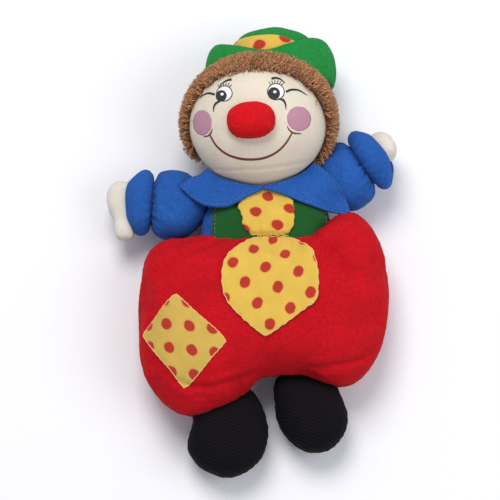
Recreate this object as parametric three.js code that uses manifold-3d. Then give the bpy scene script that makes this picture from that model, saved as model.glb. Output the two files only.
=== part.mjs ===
// Glove puppet: a plush clown lying on its back, face up.
// Millimetres, +Z up, +Y towards the head, +X to the right of a viewer who looks down at the face.
// The origin is on the flat resting face at the back of the trousers.
import * as THREE from 'three';
import { mergeVertices } from 'three/addons/utils/BufferGeometryUtils.js';
import Module from 'manifold-3d';

const wasm = await Module();
wasm.setup();

// ---------------------------------------------------------------- driving dimensions
const GAP = 0.4; // clearance between layers that touch
const CLOTH = 1.8; // velour and fleece
const LINING = 1.5; // lining cotton
const HAND_CLOTH = 1.5; // brushed cotton of the mittens
const SEAM_GAP = 0.3; // between two panels at their seam
const DEGREE = Math.PI / 180;
const FAR = 400; // longer than anything here

const TROUSERS = { low: -3, mid: 31, high: 62, edge: 0.8, crown: 0.8, columns: 28, rows: 10 };
const TROUSERS_OUTLINE = [
  [-66, 49], [-76, 33], [-80, 5], [-78.5, -34], [-69, -54], [-57, -65], [-45, -68.5], [-29, -65],
  [-12, -54.5], [1, -43.5], [27, -42.5], [48, -48.5], [59, -47.5], [70, -37], [78, -20], [81.8, 5],
  [81, 24], [76, 45], [65, 60], [57, 66], [46, 60], [38, 52], [26, 50.5], [-12, 50.5], [-42, 50.5],
];
const TORSO = { low: 3, mid: 24, high: 46, edge: 0.6, crown: 0.55, columns: 20, rows: 8 };
const TORSO_CENTRE = [0, 52];
const TORSO_OUTLINE = [
  [-38, 30], [-40, 46], [-39, 62], [-32, 74], [-16, 79], [14, 79], [30, 78], [38, 70], [41, 56],
  [40, 40], [37, 28], [18, 22], [-18, 22],
];
const WAIST = 37; // where the shirt starts inside the trousers
const HAND_SPACE = { width: 84, height: 27, low: 7.5, corner: 13 };

const NECK = { x: -0.5, z: 36, radius: 10, finger: 8.4, start: 74, ring: 83, end: 88, room: 60 };
const HEAD = { x: -2.6, y: 123.4, z: 46.5, turn: -6, roll: 3, rx: 45, ry: 42, rz: 40 };
const HEAD_REACH = { lean: [-5, 5], nod: 16, spin: [-15, 15] };
const NECK_HOLE = 15;
const FINGER_TUNNEL = { radius: 10.5, end: 136 };
const HAIR = { rx: 50.5, ry: 47.5, rz: 44, slope: 0.7, front: 9, nape: -28 };
const CHIN = { at: -27.7, slope: -0.404 };
const NOSE = { y: -8.2, z: 40.4, rx: 15.5, ry: 11.6, rz: 12 };
const HAT = { x: 8.5, y: 42.9, z: -17.5, forward: -6, roll: -5, crown: 25.5, height: 24.2, flat: 0.82 };
const CROWN = [[0, 25.5], [6, 25.3], [12.7, 23.3], [17, 20.2], [20, 17], [23, 9.5]]; // height, radius
const BRIM = [
  [0.2, 26.4], [-5, 32], [-11, 38.5], [-8.5, 41.6], [-3, 42.5], [2, 41.4], [4, 38.6],
  [3.2, 37], [1, 39.4], [-3.5, 40.4], [-8, 38.2], [-4, 32.6], [2, 27.2],
];
const BRIM_SIDES = { foot: -9, rim: 4, rise: 11, right: 3, front: -2, lean: 4, drop: 4, narrow: 0.16, flat: 0.84 };

const ARM = { sleeve: 30, flat: 0.88, swing: 35, wrist: 20, pocket: 20, hole: 13.5, end: 17.6 };
const ARMS = {
  left: { x: -41, y: 72, z: 23.5, angle: 175, pitch: 0, raise: [-18, 3], short: 0, slim: 1, turn: 0 },
  right: {
    x: 40.4, y: 82.5, z: 23.5, angle: 33, pitch: 10, raise: [-28, 2], short: 0.42, slim: 0.88, turn: 90,
  },
};
const CUFF = [
  [0, 16.6], [3.5, 20.4], [8, 22], [12, 20], [14.2, 16.6],
  [13, 15.8], [10.8, 18.6], [7.8, 20.2], [4.2, 18.7], [1, 15.4],
]; // distance past the wrist, radius
const CUFF_END = 48; // along the arm
const MITTEN_PALM = [
  [30, -8.5], [38, -10.8], [47, -13.6], [54, -14.6], [59, -12], [61.5, -5.5],
  [61.5, 5.5], [59, 12], [54, 14.6], [47, 13.6], [38, 10.8], [30, 8.5],
];
const MITTEN_THUMB = [
  [48.4, 5], [48.4, 18], [45, 25], [44.6, 29.5], [48, 31.6], [52.5, 30.5], [56, 23], [59, 12], [58.6, 5],
];
const SHOES = { low: 1, mid: 19, high: 38, edge: 0.75, crown: 0.8, columns: 18, rows: 8, swing: 65 };
const SHOE_PIVOT = { y: -58, z: 29 };
const LEFT_SHOE_OUTLINE = [
  [-45.5, -65], [-48, -82], [-48.8, -89], [-44, -98], [-35, -105.5], [-22.8, -108], [-9, -102],
  [0.5, -90], [4.3, -77], [2, -63], [-4, -50], [-24, -50],
];
const RIGHT_SHOE_OUTLINE = [
  [8, -44], [8, -60], [11, -72], [20, -84], [32, -90.5], [43, -90.5], [52, -82], [55.8, -70],
  [54.5, -60], [48, -46], [28, -42],
];

const COLLAR = { low: 49.8, high: 51.6, lift: 22, room: 14 };
const FLAPS = {
  left: {
    outline: [[-35.8, 92.4], [-52.5, 80], [-47, 71.5], [-30.6, 65.4], [-14.3, 68], [-1, 77.3]],
    hinge: [-18, 84.5, 50.7],
    axis: [-33.5, 14, 0],
  },
  right: {
    outline: [
      [34.5, 89.8], [39, 94.5], [50.7, 77.8], [57.8, 68], [55.8, 64], [37.7, 67], [18.2, 72.3], [1, 77.3],
    ],
    hinge: [19, 85.5, 50.7],
    axis: [-36, -14, 0],
  },
};
const TIE = { low: 2.2, thick: 1.3 };
const TIE_THREAD = { x: 6, y: 47, z: 49.9, length: 19, radius: 1.1, room: 1.6 };
const APPLIQUE = 1.2; // thickness of the bib and the patch
const KNOT_OUTLINE = [
  [-3, 76], [7, 76], [20, 69], [21.5, 57], [18, 49.5],
  [13, 48], [0, 48], [-8, 48.5], [-12.4, 54.5], [-14.3, 66],
];
const BLADE_OUTLINE = [
  [-2.6, 46], [-16.9, 35.2], [-24.7, 25.3], [-26.7, 12], [-22.1, -1.3], [-11, -13.5], [2, -22], [18.2, -10.5],
  [34, -2.5], [36.4, 8.6], [35.8, 21.9], [33, 31.9], [25, 41], [15, 46],
];
const BIB_OUTLINE = [[-32, 52], [-32, 71], [36, 71], [43, 56], [41, 52]];
const PATCH_OUTLINE = [[-55.9, 8.8], [-22.5, -24.1], [-50.2, -54.1], [-75, -18.2]];
const COLOURS = {
  red: 0xc81423, blue: 0x2b62b8, hatGreen: 0x1e913c, bibGreen: 0x1b7830, yellow: 0xebd24e,
  cream: 0xe6dcc8, white: 0xefe9dc, fur: 0xa0643a, black: 0x141418, lining: 0xd8d2c4, fill: 0xf4f2ec,
};

// ---------------------------------------------------------------- solids
function solid(geometry) {
  const bare = geometry.index ? geometry.toNonIndexed() : geometry.clone();
  bare.deleteAttribute('normal');
  bare.deleteAttribute('uv');
  const merged = mergeVertices(bare, 1e-3);
  const corners = merged.index.array;
  const kept = [];
  for (let i = 0; i < corners.length; i += 3) {
    const [a, b, c] = [corners[i], corners[i + 1], corners[i + 2]];
    if (a !== b && b !== c && c !== a) kept.push(a, b, c);
  }
  return new wasm.Manifold(new wasm.Mesh({
    numProp: 3,
    vertProperties: new Float32Array(merged.attributes.position.array),
    triVerts: new Uint32Array(kept),
  }));
}

function geometryOf(manifold) {
  const mesh = manifold.getMesh();
  const geometry = new THREE.BufferGeometry();
  geometry.setAttribute('position', new THREE.BufferAttribute(new Float32Array(mesh.vertProperties), 3));
  geometry.setIndex(new THREE.BufferAttribute(new Uint32Array(mesh.triVerts), 1));
  geometry.computeVertexNormals();
  return geometry;
}

function moved(manifold, matrix) {
  return solid(geometryOf(manifold).applyMatrix4(matrix));
}

function reshaped(manifold, place) {
  const geometry = geometryOf(manifold);
  const points = geometry.attributes.position;
  for (let i = 0; i < points.count; i += 1) {
    points.setXYZ(i, ...place(points.getX(i), points.getY(i), points.getZ(i)));
  }
  return solid(geometry);
}

function mesh(name, manifold, colour, roughness) {
  const material = new THREE.MeshStandardMaterial({ color: colour, roughness, metalness: 0 });
  const piece = new THREE.Mesh(geometryOf(manifold), material);
  piece.name = name;
  return piece;
}

function matrixOf(object) {
  object.updateMatrixWorld(true);
  return object.matrixWorld.clone();
}

function turnAbout(point, axis, degrees) {
  const [x, y, z] = point;
  return new THREE.Matrix4().makeTranslation(x, y, z)
    .multiply(new THREE.Matrix4().makeRotationAxis(new THREE.Vector3(...axis).normalize(), degrees * DEGREE))
    .multiply(new THREE.Matrix4().makeTranslation(-x, -y, -z));
}

// Cuts from a piece the room that a neighbour needs while the piece turns through the angles.
function clearSweep(piece, neighbour, point, axis, angles) {
  return angles.reduce(
    (rest, angle) => rest.subtract(moved(neighbour, turnAbout(point, axis, -angle))),
    piece,
  );
}

function block(x0, x1, y0, y1, z0, z1) {
  const geometry = new THREE.BoxGeometry(x1 - x0, y1 - y0, z1 - z0);
  return solid(geometry.translate((x0 + x1) / 2, (y0 + y1) / 2, (z0 + z1) / 2));
}

function ellipsoid(rx, ry, rz, columns = 18, rows = 10) {
  return solid(new THREE.SphereGeometry(1, columns, rows).rotateX(Math.PI / 2).scale(rx, ry, rz));
}

function rodAlongY(radius, y0, y1, x, z, sides = 12) {
  return solid(new THREE.CylinderGeometry(radius, radius, y1 - y0, sides).translate(x, (y0 + y1) / 2, z));
}

function rodAlongX(radius, x0, x1, sides = 12) {
  return solid(new THREE.CylinderGeometry(radius, radius, x1 - x0, sides)
    .rotateZ(-Math.PI / 2).translate((x0 + x1) / 2, 0, 0));
}

function prism(outline, z0, z1) {
  const shape = new THREE.Shape(outline.map(([x, y]) => new THREE.Vector2(x, y)));
  return solid(new THREE.ExtrudeGeometry(shape, { depth: z1 - z0, bevelEnabled: false }).translate(0, 0, z0));
}

function roundedOutline(points, divisions) {
  const curve = new THREE.CatmullRomCurve3(points.map(([x, y]) => new THREE.Vector3(x, y, 0)), true);
  return curve.getSpacedPoints(divisions).slice(0, divisions).map((p) => [p.x, p.y]);
}

// Distance of a smooth closed outline from its centre, by direction.
function outlineReach(points, centre) {
  const polar = roundedOutline(points, 240)
    .map(([x, y]) => [Math.atan2(y - centre[1], x - centre[0]), Math.hypot(x - centre[0], y - centre[1])])
    .sort((a, b) => a[0] - b[0]);
  const turn = 2 * Math.PI;
  const [first, last] = [polar[0], polar[polar.length - 1]];
  const ring = [[last[0] - turn, last[1]], ...polar, [first[0] + turn, first[1]]];
  return (angle) => {
    const next = ring.findIndex(([a]) => a > angle);
    const [a0, r0] = ring[next - 1];
    const [a1, r1] = ring[next];
    return r0 + ((r1 - r0) * (angle - a0)) / (a1 - a0 || 1);
  };
}

// A stuffed form over a flat outline: widest at its middle height, crowned above and below,
// pressed flat where it rests at z = 0. The form grows by the given amount all round.
function puff(points, centre, form, grow = 0) {
  const reach = outlineReach(points, centre);
  const geometry = new THREE.SphereGeometry(1, form.columns, form.rows).rotateX(Math.PI / 2);
  const place = geometry.attributes.position;
  const floor = Math.max(form.low, 0) - grow;
  for (let i = 0; i < place.count; i += 1) {
    const [x, y, z] = [place.getX(i), place.getY(i), place.getZ(i)];
    const flat = Math.hypot(x, y);
    const angle = Math.atan2(y, x);
    const out = flat < 1e-6 ? 0 : (reach(angle) + grow) * flat ** form.edge;
    const rise = Math.abs(z) ** form.crown;
    const reachUp = z > 0 ? form.high - form.mid + grow : form.low - form.mid - grow;
    const height = Math.max(form.mid + reachUp * rise, floor);
    place.setXYZ(i, centre[0] + Math.cos(angle) * out, centre[1] + Math.sin(angle) * out, height);
  }
  return solid(geometry);
}

// A body of revolution about +X from a closed profile of [distance along X, radius] points.
function turned(profile, flat = 1, sides = 14) {
  const points = [...profile, profile[0]].map(([along, radius]) => new THREE.Vector2(radius, along));
  return solid(new THREE.LatheGeometry(points, sides).rotateZ(-Math.PI / 2).scale(1, 1, flat));
}

function ring(along, radius, thick, flat = 1) {
  const profile = [3, 2, 1, 0].map((i) => [
    along + thick * Math.cos((i * Math.PI) / 2), radius + thick * Math.sin((i * Math.PI) / 2),
  ]);
  return turned(profile, flat, 12);
}

// ---------------------------------------------------------------- shared forms
const trousersForm = (grow) => puff(TROUSERS_OUTLINE, [1, 0], TROUSERS, grow);
const torsoForm = (grow) => puff(TORSO_OUTLINE, TORSO_CENTRE, TORSO, grow);
const trousersOuter = trousersForm(0);
const torsoOuter = torsoForm(0);
const headForm = (grow) => ellipsoid(HEAD.rx + grow, HEAD.ry + grow, HEAD.rz + grow);
const hairForm = (grow) => ellipsoid(HAIR.rx + grow, HAIR.ry + grow, HAIR.rz + grow);

const headFrame = new THREE.Group();
headFrame.position.set(HEAD.x, HEAD.y, HEAD.z);
headFrame.rotation.set(0, HEAD.turn * DEGREE, HEAD.roll * DEGREE, 'ZYX');
const headMatrix = matrixOf(headFrame);

// The head ball with its hair at every place that its joints reach, for its neighbours to stay clear of.
function headSwept(grow) {
  const scalp = hairForm(grow).subtract(block(-FAR, FAR, -FAR, HAIR.nape - grow, -FAR, FAR));
  const still = moved(headForm(grow).add(scalp), headMatrix);
  const pivot = [NECK.x, NECK.ring, NECK.z];
  const pose = ([lean, nod, spin]) => moved(still, turnAbout(pivot, [0, 0, 1], lean)
    .multiply(turnAbout(pivot, [1, 0, 0], nod)).multiply(turnAbout(pivot, [0, 1, 0], spin)));
  const { lean, nod, spin } = HEAD_REACH;
  return [
    [lean[0], 0, 0], [lean[1], 0, 0], [0, nod, 0], [0, 0, spin[0]], [0, 0, spin[1]],
    [lean[0], 0, spin[0]], [lean[1], nod, spin[1]],
  ].map(pose).reduce((all, one) => all.add(one), still);
}

// A rounded tunnel along Y for the wearer's hand.
function handTunnel(grow, y0, y1) {
  const { width, height, low, corner } = HAND_SPACE;
  const [w, h, r] = [width / 2 + grow, height / 2 + grow, corner + grow];
  const shape = new THREE.Shape();
  shape.moveTo(-w + r, -h);
  shape.lineTo(w - r, -h);
  shape.absarc(w - r, 0, h, -Math.PI / 2, Math.PI / 2, false);
  shape.lineTo(-w + r, h);
  shape.absarc(-w + r, 0, h, Math.PI / 2, (3 * Math.PI) / 2, false);
  const options = { depth: y1 - y0, bevelEnabled: false, curveSegments: 3 };
  const geometry = new THREE.ExtrudeGeometry(shape, options);
  return solid(geometry.rotateX(Math.PI / 2).translate(0, y1, low + height / 2));
}

// ---------------------------------------------------------------- trousers and lining
function buildTrousers() {
  const shell = trousersOuter.subtract(trousersForm(-CLOTH));
  const tunnel = handTunnel(LINING + GAP, -FAR, FAR);
  const waist = torsoForm(GAP + 0.2);
  const cloth = shell.subtract(tunnel).subtract(waist);
  const above = block(-FAR, FAR, -FAR, FAR, TROUSERS.mid + SEAM_GAP / 2, FAR);
  const below = block(-FAR, FAR, -FAR, FAR, -FAR, TROUSERS.mid - SEAM_GAP / 2);
  const fill = trousersForm(-CLOTH - GAP).subtract(tunnel).subtract(waist);
  const tube = handTunnel(LINING, -FAR, WAIST - 1).subtract(handTunnel(0, -FAR, FAR));
  const hemDepth = 9;
  const openEnd = block(-FAR, FAR, -FAR, 0, 0, FAR);
  const hem = tube.intersect(trousersOuter).subtract(trousersForm(-hemDepth)).intersect(openEnd);
  const lining = tube.intersect(trousersForm(-hemDepth - SEAM_GAP).add(block(-FAR, FAR, 0, FAR, 0, FAR)));
  return [
    mesh('trousers_front', cloth.intersect(above), COLOURS.red, 0.85),
    mesh('trousers_back', cloth.intersect(below), COLOURS.red, 0.85),
    mesh('trousers_stuffing', fill, COLOURS.fill, 1),
    mesh('hand_lining', lining, COLOURS.lining, 0.9),
    mesh('hem_band', hem, COLOURS.red, 0.85),
  ];
}

// A cut-out of cloth that lies on a stuffed form.
function conforming(under, outline) {
  return under(GAP + APPLIQUE).subtract(under(GAP)).intersect(prism(outline, TROUSERS.mid + 2, FAR));
}

function buildPatch() {
  return mesh('trouser_patch', conforming(trousersForm, PATCH_OUTLINE), COLOURS.yellow, 0.9);
}

// ---------------------------------------------------------------- shirt
function armholeCutter(arm) {
  return moved(rodAlongX(ARM.hole, -24, 12), armMatrix(arm));
}

function neckline() {
  return rodAlongY(NECK.radius + 2, NECK.start - 3, FAR, NECK.x, NECK.z);
}

function buildShirt() {
  const holes = [armholeCutter(ARMS.left), armholeCutter(ARMS.right), neckline()];
  const open = block(-FAR, FAR, -FAR, WAIST, -FAR, FAR);
  const shell = torsoOuter.subtract(torsoForm(-CLOTH)).subtract(open);
  const cloth = holes.reduce((rest, hole) => rest.subtract(hole), shell);
  const front = block(-FAR, FAR, -FAR, FAR, TORSO.mid + SEAM_GAP / 2, FAR);
  const back = block(-FAR, FAR, -FAR, FAR, -FAR, TORSO.mid - SEAM_GAP / 2);
  const bib = conforming(torsoForm, BIB_OUTLINE).subtract(trousersForm(GAP));
  return [
    mesh('shirt_front', cloth.intersect(front), COLOURS.blue, 0.85),
    mesh('shirt_back', cloth.intersect(back), COLOURS.blue, 0.85),
    mesh('bib', bib, COLOURS.bibGreen, 0.9),
  ];
}

function buildCollar() {
  const away = headSwept(1.5);
  const neck = rodAlongY(NECK.radius + 2, NECK.room, FAR, NECK.x, NECK.z);
  const lifts = [0, COLLAR.lift / 2, COLLAR.lift];
  const flap = ({ outline, hinge, axis }) => clearSweep(
    prism(outline, COLLAR.low, COLLAR.high).subtract(neck), away, hinge, axis, lifts,
  );
  return [
    mesh('collar_left', flap(FLAPS.left), COLOURS.blue, 0.85),
    mesh('collar_right', flap(FLAPS.right), COLOURS.blue, 0.85),
  ];
}

// ---------------------------------------------------------------- tie
function tieLayer(grow) {
  return torsoForm(grow).add(trousersForm(grow));
}

function buildTie() {
  const layer = (outline) => tieLayer(TIE.low + TIE.thick).subtract(tieLayer(TIE.low))
    .intersect(prism(roundedOutline(outline, 22), TROUSERS.mid + 8, FAR));
  const neck = rodAlongY(NECK.radius + 1.5, NECK.room, FAR, NECK.x, NECK.z);
  const knot = layer(KNOT_OUTLINE).subtract(neck);
  const { x, y, z, length, radius, room } = TIE_THREAD;
  const rod = (thick, long) => solid(new THREE.CylinderGeometry(thick, thick, long, 8)
    .rotateZ(Math.PI / 2).translate(x, y, z));
  const cut = rod(room, 2 * length);
  return [
    mesh('tie_knot', knot.subtract(cut), COLOURS.yellow, 0.9),
    mesh('tie_gather_thread', rod(radius, length), COLOURS.yellow, 0.9),
    mesh('tie_blade', layer(BLADE_OUTLINE).subtract(cut), COLOURS.yellow, 0.9),
  ];
}

// ---------------------------------------------------------------- neck and head
function buildNeck() {
  const tube = rodAlongY(NECK.radius, NECK.start, NECK.end, NECK.x, NECK.z)
    .subtract(rodAlongY(NECK.finger, NECK.room, FAR, NECK.x, NECK.z));
  const upright = new THREE.Matrix4().makeTranslation(NECK.x, NECK.ring, NECK.z)
    .multiply(new THREE.Matrix4().makeRotationZ(Math.PI / 2));
  const gather = moved(ring(0, NECK.radius + 2, 0.8), upright);
  return [
    mesh('neck_tube', tube, COLOURS.cream, 0.9),
    mesh('neck_gather', gather, COLOURS.cream, 0.9),
  ];
}

// A slab in the head's own frame, turned about X and lifted.
function tiltedSlab(z0, z1, tilt, offset) {
  return moved(block(-FAR, FAR, -FAR, FAR, z0, z1), new THREE.Matrix4().makeTranslation(0, 0, offset)
    .multiply(new THREE.Matrix4().makeRotationX(tilt)));
}

function buildHead() {
  const inverse = headMatrix.clone().invert();
  const bore = (radius, start, end) => moved(rodAlongY(radius, start, end, NECK.x, NECK.z), inverse);
  const neckHole = bore(NECK_HOLE, NECK.room, NECK.end + 3);
  const finger = bore(FINGER_TUNNEL.radius, NECK.room, FINGER_TUNNEL.end);
  const shell = headForm(0).subtract(headForm(-CLOTH)).subtract(neckHole);
  const seamTilt = Math.atan(HAIR.slope);
  const ahead = tiltedSlab(0, FAR, seamTilt, HAIR.front + SEAM_GAP);
  const behind = tiltedSlab(-FAR, 0, seamTilt, HAIR.front);
  const chinTilt = Math.atan(CHIN.slope);
  const chinSlab = (offset) => moved(block(-FAR, FAR, -FAR, 0, -FAR, FAR),
    new THREE.Matrix4().makeTranslation(0, CHIN.at + offset, 0)
      .multiply(new THREE.Matrix4().makeRotationX(-chinTilt)));
  const noseForm = (grow) => moved(ellipsoid(NOSE.rx + grow, NOSE.ry + grow, NOSE.rz + grow, 12, 6),
    new THREE.Matrix4().makeTranslation(0, NOSE.y, NOSE.z));
  const face = shell.intersect(ahead);
  const napeCut = block(-FAR, FAR, -FAR, HAIR.nape, -FAR, FAR);
  const hair = hairForm(0).subtract(headForm(GAP)).intersect(behind).subtract(napeCut);
  const fingerSleeve = bore(FINGER_TUNNEL.radius - GAP, NECK.end + 5, FINGER_TUNNEL.end - 1)
    .subtract(bore(FINGER_TUNNEL.radius - GAP - 1, NECK.room, FINGER_TUNNEL.end - 3));
  const group = new THREE.Group();
  group.position.copy(headFrame.position);
  group.rotation.copy(headFrame.rotation);
  group.add(
    mesh('face', face.subtract(chinSlab(SEAM_GAP)), COLOURS.cream, 0.9),
    mesh('chin', face.intersect(chinSlab(0)), COLOURS.cream, 0.9),
    mesh('head_back', shell.intersect(behind), COLOURS.fur, 1),
    mesh('hair', hair, COLOURS.fur, 1),
    mesh('head_stuffing', headForm(-CLOTH - GAP).subtract(neckHole).subtract(finger), COLOURS.fill, 1),
    mesh('head_finger_sleeve', fingerSleeve, COLOURS.lining, 0.9),
    mesh('nose_cover', noseForm(0).subtract(noseForm(-1.2)).subtract(headForm(GAP)), COLOURS.red, 0.9),
    mesh('nose_stuffing', noseForm(-1.2 - GAP).subtract(headForm(GAP)), COLOURS.fill, 1),
    buildHat(),
  );
  return group;
}

// Stands the brim up at its two sides, more at the right, and narrows it in front and behind.
function brimPlace(x, y, z) {
  const { foot, rim, rise, right, front, lean, drop, narrow, flat } = BRIM_SIDES;
  const radius = Math.hypot(x, z);
  const side = (Math.abs(x) / radius) ** 1.5;
  const toRight = Math.max(x / radius, 0);
  const wall = THREE.MathUtils.clamp((radius - 34) / 3, 0, 1);
  const up = wall * THREE.MathUtils.clamp((y - foot) / (rim - foot), 0, 1);
  const outward = THREE.MathUtils.clamp((radius - 27) / 14, 0, 1);
  const height = y + up * (front + (rise - front) * side + right * toRight) - outward * (1 - up) * drop * toRight;
  const inward = 1 - (up * lean * side) / radius;
  return [x * inward, height, z * inward * (flat - narrow * outward)];
}

function buildHat() {
  const group = new THREE.Group();
  group.position.set(HAT.x, HAT.y, HAT.z);
  group.rotation.set(HAT.forward * DEGREE, 0, HAT.roll * DEGREE, 'ZYX');
  const inverse = matrixOf(group).invert();
  const hairHere = moved(hairForm(GAP), inverse);
  const upright = new THREE.Matrix4().makeRotationZ(Math.PI / 2);
  const lathe = (profile, flat = HAT.flat, sides = 16) => moved(turned(profile, flat, sides), upright);
  const crown = (grow) => [
    ...CROWN.map(([height, radius]) => [height * (1 + grow / HAT.height), radius + grow]),
    [HAT.height + grow, 0],
  ];
  const filled = (grow) => lathe([...crown(grow), [0, 0]]);
  const band = lathe([[2.8, 27.2], [12.6, 25.2], [12.6, 18], [2.8, 18]]).subtract(filled(0.3));
  const brim = reshaped(lathe(BRIM, 1, 24), brimPlace);
  group.add(
    mesh('hat_brim', brim.subtract(hairHere), COLOURS.hatGreen, 0.9),
    mesh('hat_crown', filled(0).subtract(filled(-CLOTH)).subtract(hairHere), COLOURS.hatGreen, 0.9),
    mesh('hat_stuffing', filled(-CLOTH - GAP).subtract(hairHere), COLOURS.fill, 1),
    mesh('hat_band', band.subtract(hairHere), COLOURS.yellow, 0.9),
  );
  return group;
}

// ---------------------------------------------------------------- arms
function armFrame(arm) {
  const group = new THREE.Group();
  group.position.set(arm.x, arm.y, arm.z);
  group.rotation.set(0, -arm.pitch * DEGREE, arm.angle * DEGREE, 'ZYX');
  return group;
}

function armMatrix(arm) {
  return matrixOf(armFrame(arm));
}

function sleeveProfile(wall) {
  const form = [[2, 14], [5, 18.5], [10, 21.8], [16, 23], [23, 21.6], [ARM.sleeve, 16.6]];
  const inner = form.map(([along, radius]) => [along, radius - wall]);
  return [...form, ...inner.reverse()];
}

function cuffProfile() {
  return CUFF.map(([along, radius]) => [ARM.sleeve + 2.4 + along, radius]);
}

function mitten(arm, grow) {
  const form = { low: 10, mid: 20, high: 30, edge: 0.7, crown: 0.85, columns: 14, rows: 6 };
  const thumbForm = { ...form, low: 13, high: 27, columns: 10, rows: 4 };
  const size = (points) => points.map(([x, y]) => [
    x - arm.short * Math.max(x - CUFF_END, 0), y * arm.slim,
  ]);
  const place = new THREE.Matrix4().makeRotationX(-arm.turn * DEGREE)
    .multiply(new THREE.Matrix4().makeTranslation(0, 0, -20));
  const palm = puff(size(MITTEN_PALM), size([[48, 0]])[0], form, grow);
  return moved(palm.add(puff(size(MITTEN_THUMB), size([[52, 16]])[0], thumbForm, grow)), place);
}

function buildArm(name) {
  const arm = ARMS[name];
  const group = armFrame(arm);
  const matrix = matrixOf(group);
  const inverse = matrix.clone().invert();
  const around = torsoForm(GAP + 0.3).add(trousersForm(GAP + 0.3)).add(headSwept(GAP + 0.3));
  const flap = prism(FLAPS[name].outline, COLLAR.low - 2, COLLAR.high + COLLAR.room);
  const neighbours = moved(around.add(flap), inverse);
  const upAxis = [Math.sin(arm.pitch * DEGREE), 0, Math.cos(arm.pitch * DEGREE)];
  const swings = [ARM.swing / 2, ARM.swing];
  const swept = (piece, obstacle) => clearSweep(piece, obstacle, [0, 0, 0], [0, -1, 0], swings);
  const raised = (angle) => moved(neighbours, turnAbout([0, 0, 0], upAxis, -angle));
  const clear = (piece) => swept(swept(piece, neighbours), raised(arm.raise[1]))
    .subtract(neighbours).subtract(raised(arm.raise[0])).subtract(raised(arm.raise[1]));
  const end = ARM.sleeve + GAP;
  const filled = turned([[0, ARM.end], [end, ARM.end], [end, 0], [0, 0]], ARM.flat);
  const wrist = block(ARM.sleeve + 1, FAR, -FAR, FAR, -FAR, FAR);
  const pocket = moved(block(0, ARM.sleeve + ARM.pocket, -7.8, 7.8, -5.8, 5.8),
    new THREE.Matrix4().makeRotationX(-arm.turn * DEGREE));
  const cover = mitten(arm, 0).subtract(mitten(arm, -HAND_CLOTH)).intersect(wrist);
  const fill = mitten(arm, -HAND_CLOTH - GAP).intersect(wrist).subtract(pocket);
  group.add(
    mesh(`armhole_gather_${name}`, clear(ring(0, 10.8, 0.8, ARM.flat)), COLOURS.blue, 0.85),
    mesh(`sleeve_${name}`, clear(turned(sleeveProfile(CLOTH), ARM.flat)), COLOURS.blue, 0.85),
    mesh(`wrist_gather_${name}`, ring(ARM.sleeve + 1.2, 13.5, 0.8, ARM.flat), COLOURS.blue, 0.85),
    mesh(`cuff_${name}`, clearSweep(turned(cuffProfile(), ARM.flat), filled, [ARM.sleeve + 1.2, 0, 0],
      [0, -1, 0], [0.5 * ARM.wrist, 0.8 * ARM.wrist, ARM.wrist]), COLOURS.blue, 0.85),
    mesh(`hand_${name}`, cover, COLOURS.white, 0.9),
    mesh(`hand_stuffing_${name}`, fill, COLOURS.fill, 1),
  );
  return group;
}

// ---------------------------------------------------------------- shoes
function buildShoe(name, outline, centre) {
  const pivot = [0, SHOE_PIVOT.y, SHOE_PIVOT.z];
  const swing = [0, 0.25, 0.5, 0.75, 1].map((part) => part * SHOES.swing);
  const form = (grow) => clearSweep(
    puff(outline, centre, SHOES, grow), trousersForm(2 * GAP - grow), pivot, [-1, 0, 0], swing,
  );
  const shell = form(0).subtract(form(-CLOTH));
  const upper = block(-FAR, FAR, -FAR, FAR, SHOES.mid + SEAM_GAP / 2, FAR);
  const under = block(-FAR, FAR, -FAR, FAR, -FAR, SHOES.mid - SEAM_GAP / 2);
  return [
    mesh(`shoe_upper_${name}`, shell.intersect(upper), COLOURS.black, 0.9),
    mesh(`shoe_sole_${name}`, shell.intersect(under), COLOURS.black, 0.9),
    mesh(`shoe_stuffing_${name}`, form(-CLOTH - GAP), COLOURS.fill, 1),
  ];
}

// ---------------------------------------------------------------- assembly
const puppet = new THREE.Group();
puppet.name = 'hand_puppet';
puppet.add(
  ...buildTrousers(),
  buildPatch(),
  ...buildShirt(),
  ...buildCollar(),
  ...buildTie(),
  ...buildNeck(),
  buildHead(),
  buildArm('left'),
  buildArm('right'),
  ...buildShoe('left', LEFT_SHOE_OUTLINE, [-22, -80]),
  ...buildShoe('right', RIGHT_SHOE_OUTLINE, [31, -66]),
);

export default puppet;
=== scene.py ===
"""A plush clown glove puppet lying on its back: the looks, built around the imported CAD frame.

Sizes are in millimetres, in the frame's own axes: +Y to the hat, +Z out of the face.
"""

import math

import bpy
import numpy as np
from mathutils import Matrix, Vector, noise
from mathutils.bvhtree import BVHTree


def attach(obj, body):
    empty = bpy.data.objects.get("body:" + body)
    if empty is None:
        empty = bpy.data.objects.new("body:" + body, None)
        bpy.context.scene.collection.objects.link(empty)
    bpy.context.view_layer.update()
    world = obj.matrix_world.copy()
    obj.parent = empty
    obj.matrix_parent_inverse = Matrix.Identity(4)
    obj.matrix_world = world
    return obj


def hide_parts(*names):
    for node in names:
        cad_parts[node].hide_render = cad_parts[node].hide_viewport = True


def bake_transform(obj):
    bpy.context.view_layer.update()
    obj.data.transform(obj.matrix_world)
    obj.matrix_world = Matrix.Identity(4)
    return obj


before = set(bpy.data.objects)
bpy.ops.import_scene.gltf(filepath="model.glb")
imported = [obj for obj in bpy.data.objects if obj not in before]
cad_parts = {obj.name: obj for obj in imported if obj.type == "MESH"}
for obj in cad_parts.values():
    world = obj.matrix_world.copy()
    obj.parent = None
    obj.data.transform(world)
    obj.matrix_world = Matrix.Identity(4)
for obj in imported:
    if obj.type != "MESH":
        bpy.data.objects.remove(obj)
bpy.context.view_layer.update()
MM = 0.001
FULL = 2 * math.pi
FLOOR, LOWEST = 0.4, 0.6
random = np.random.default_rng(11)

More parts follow.
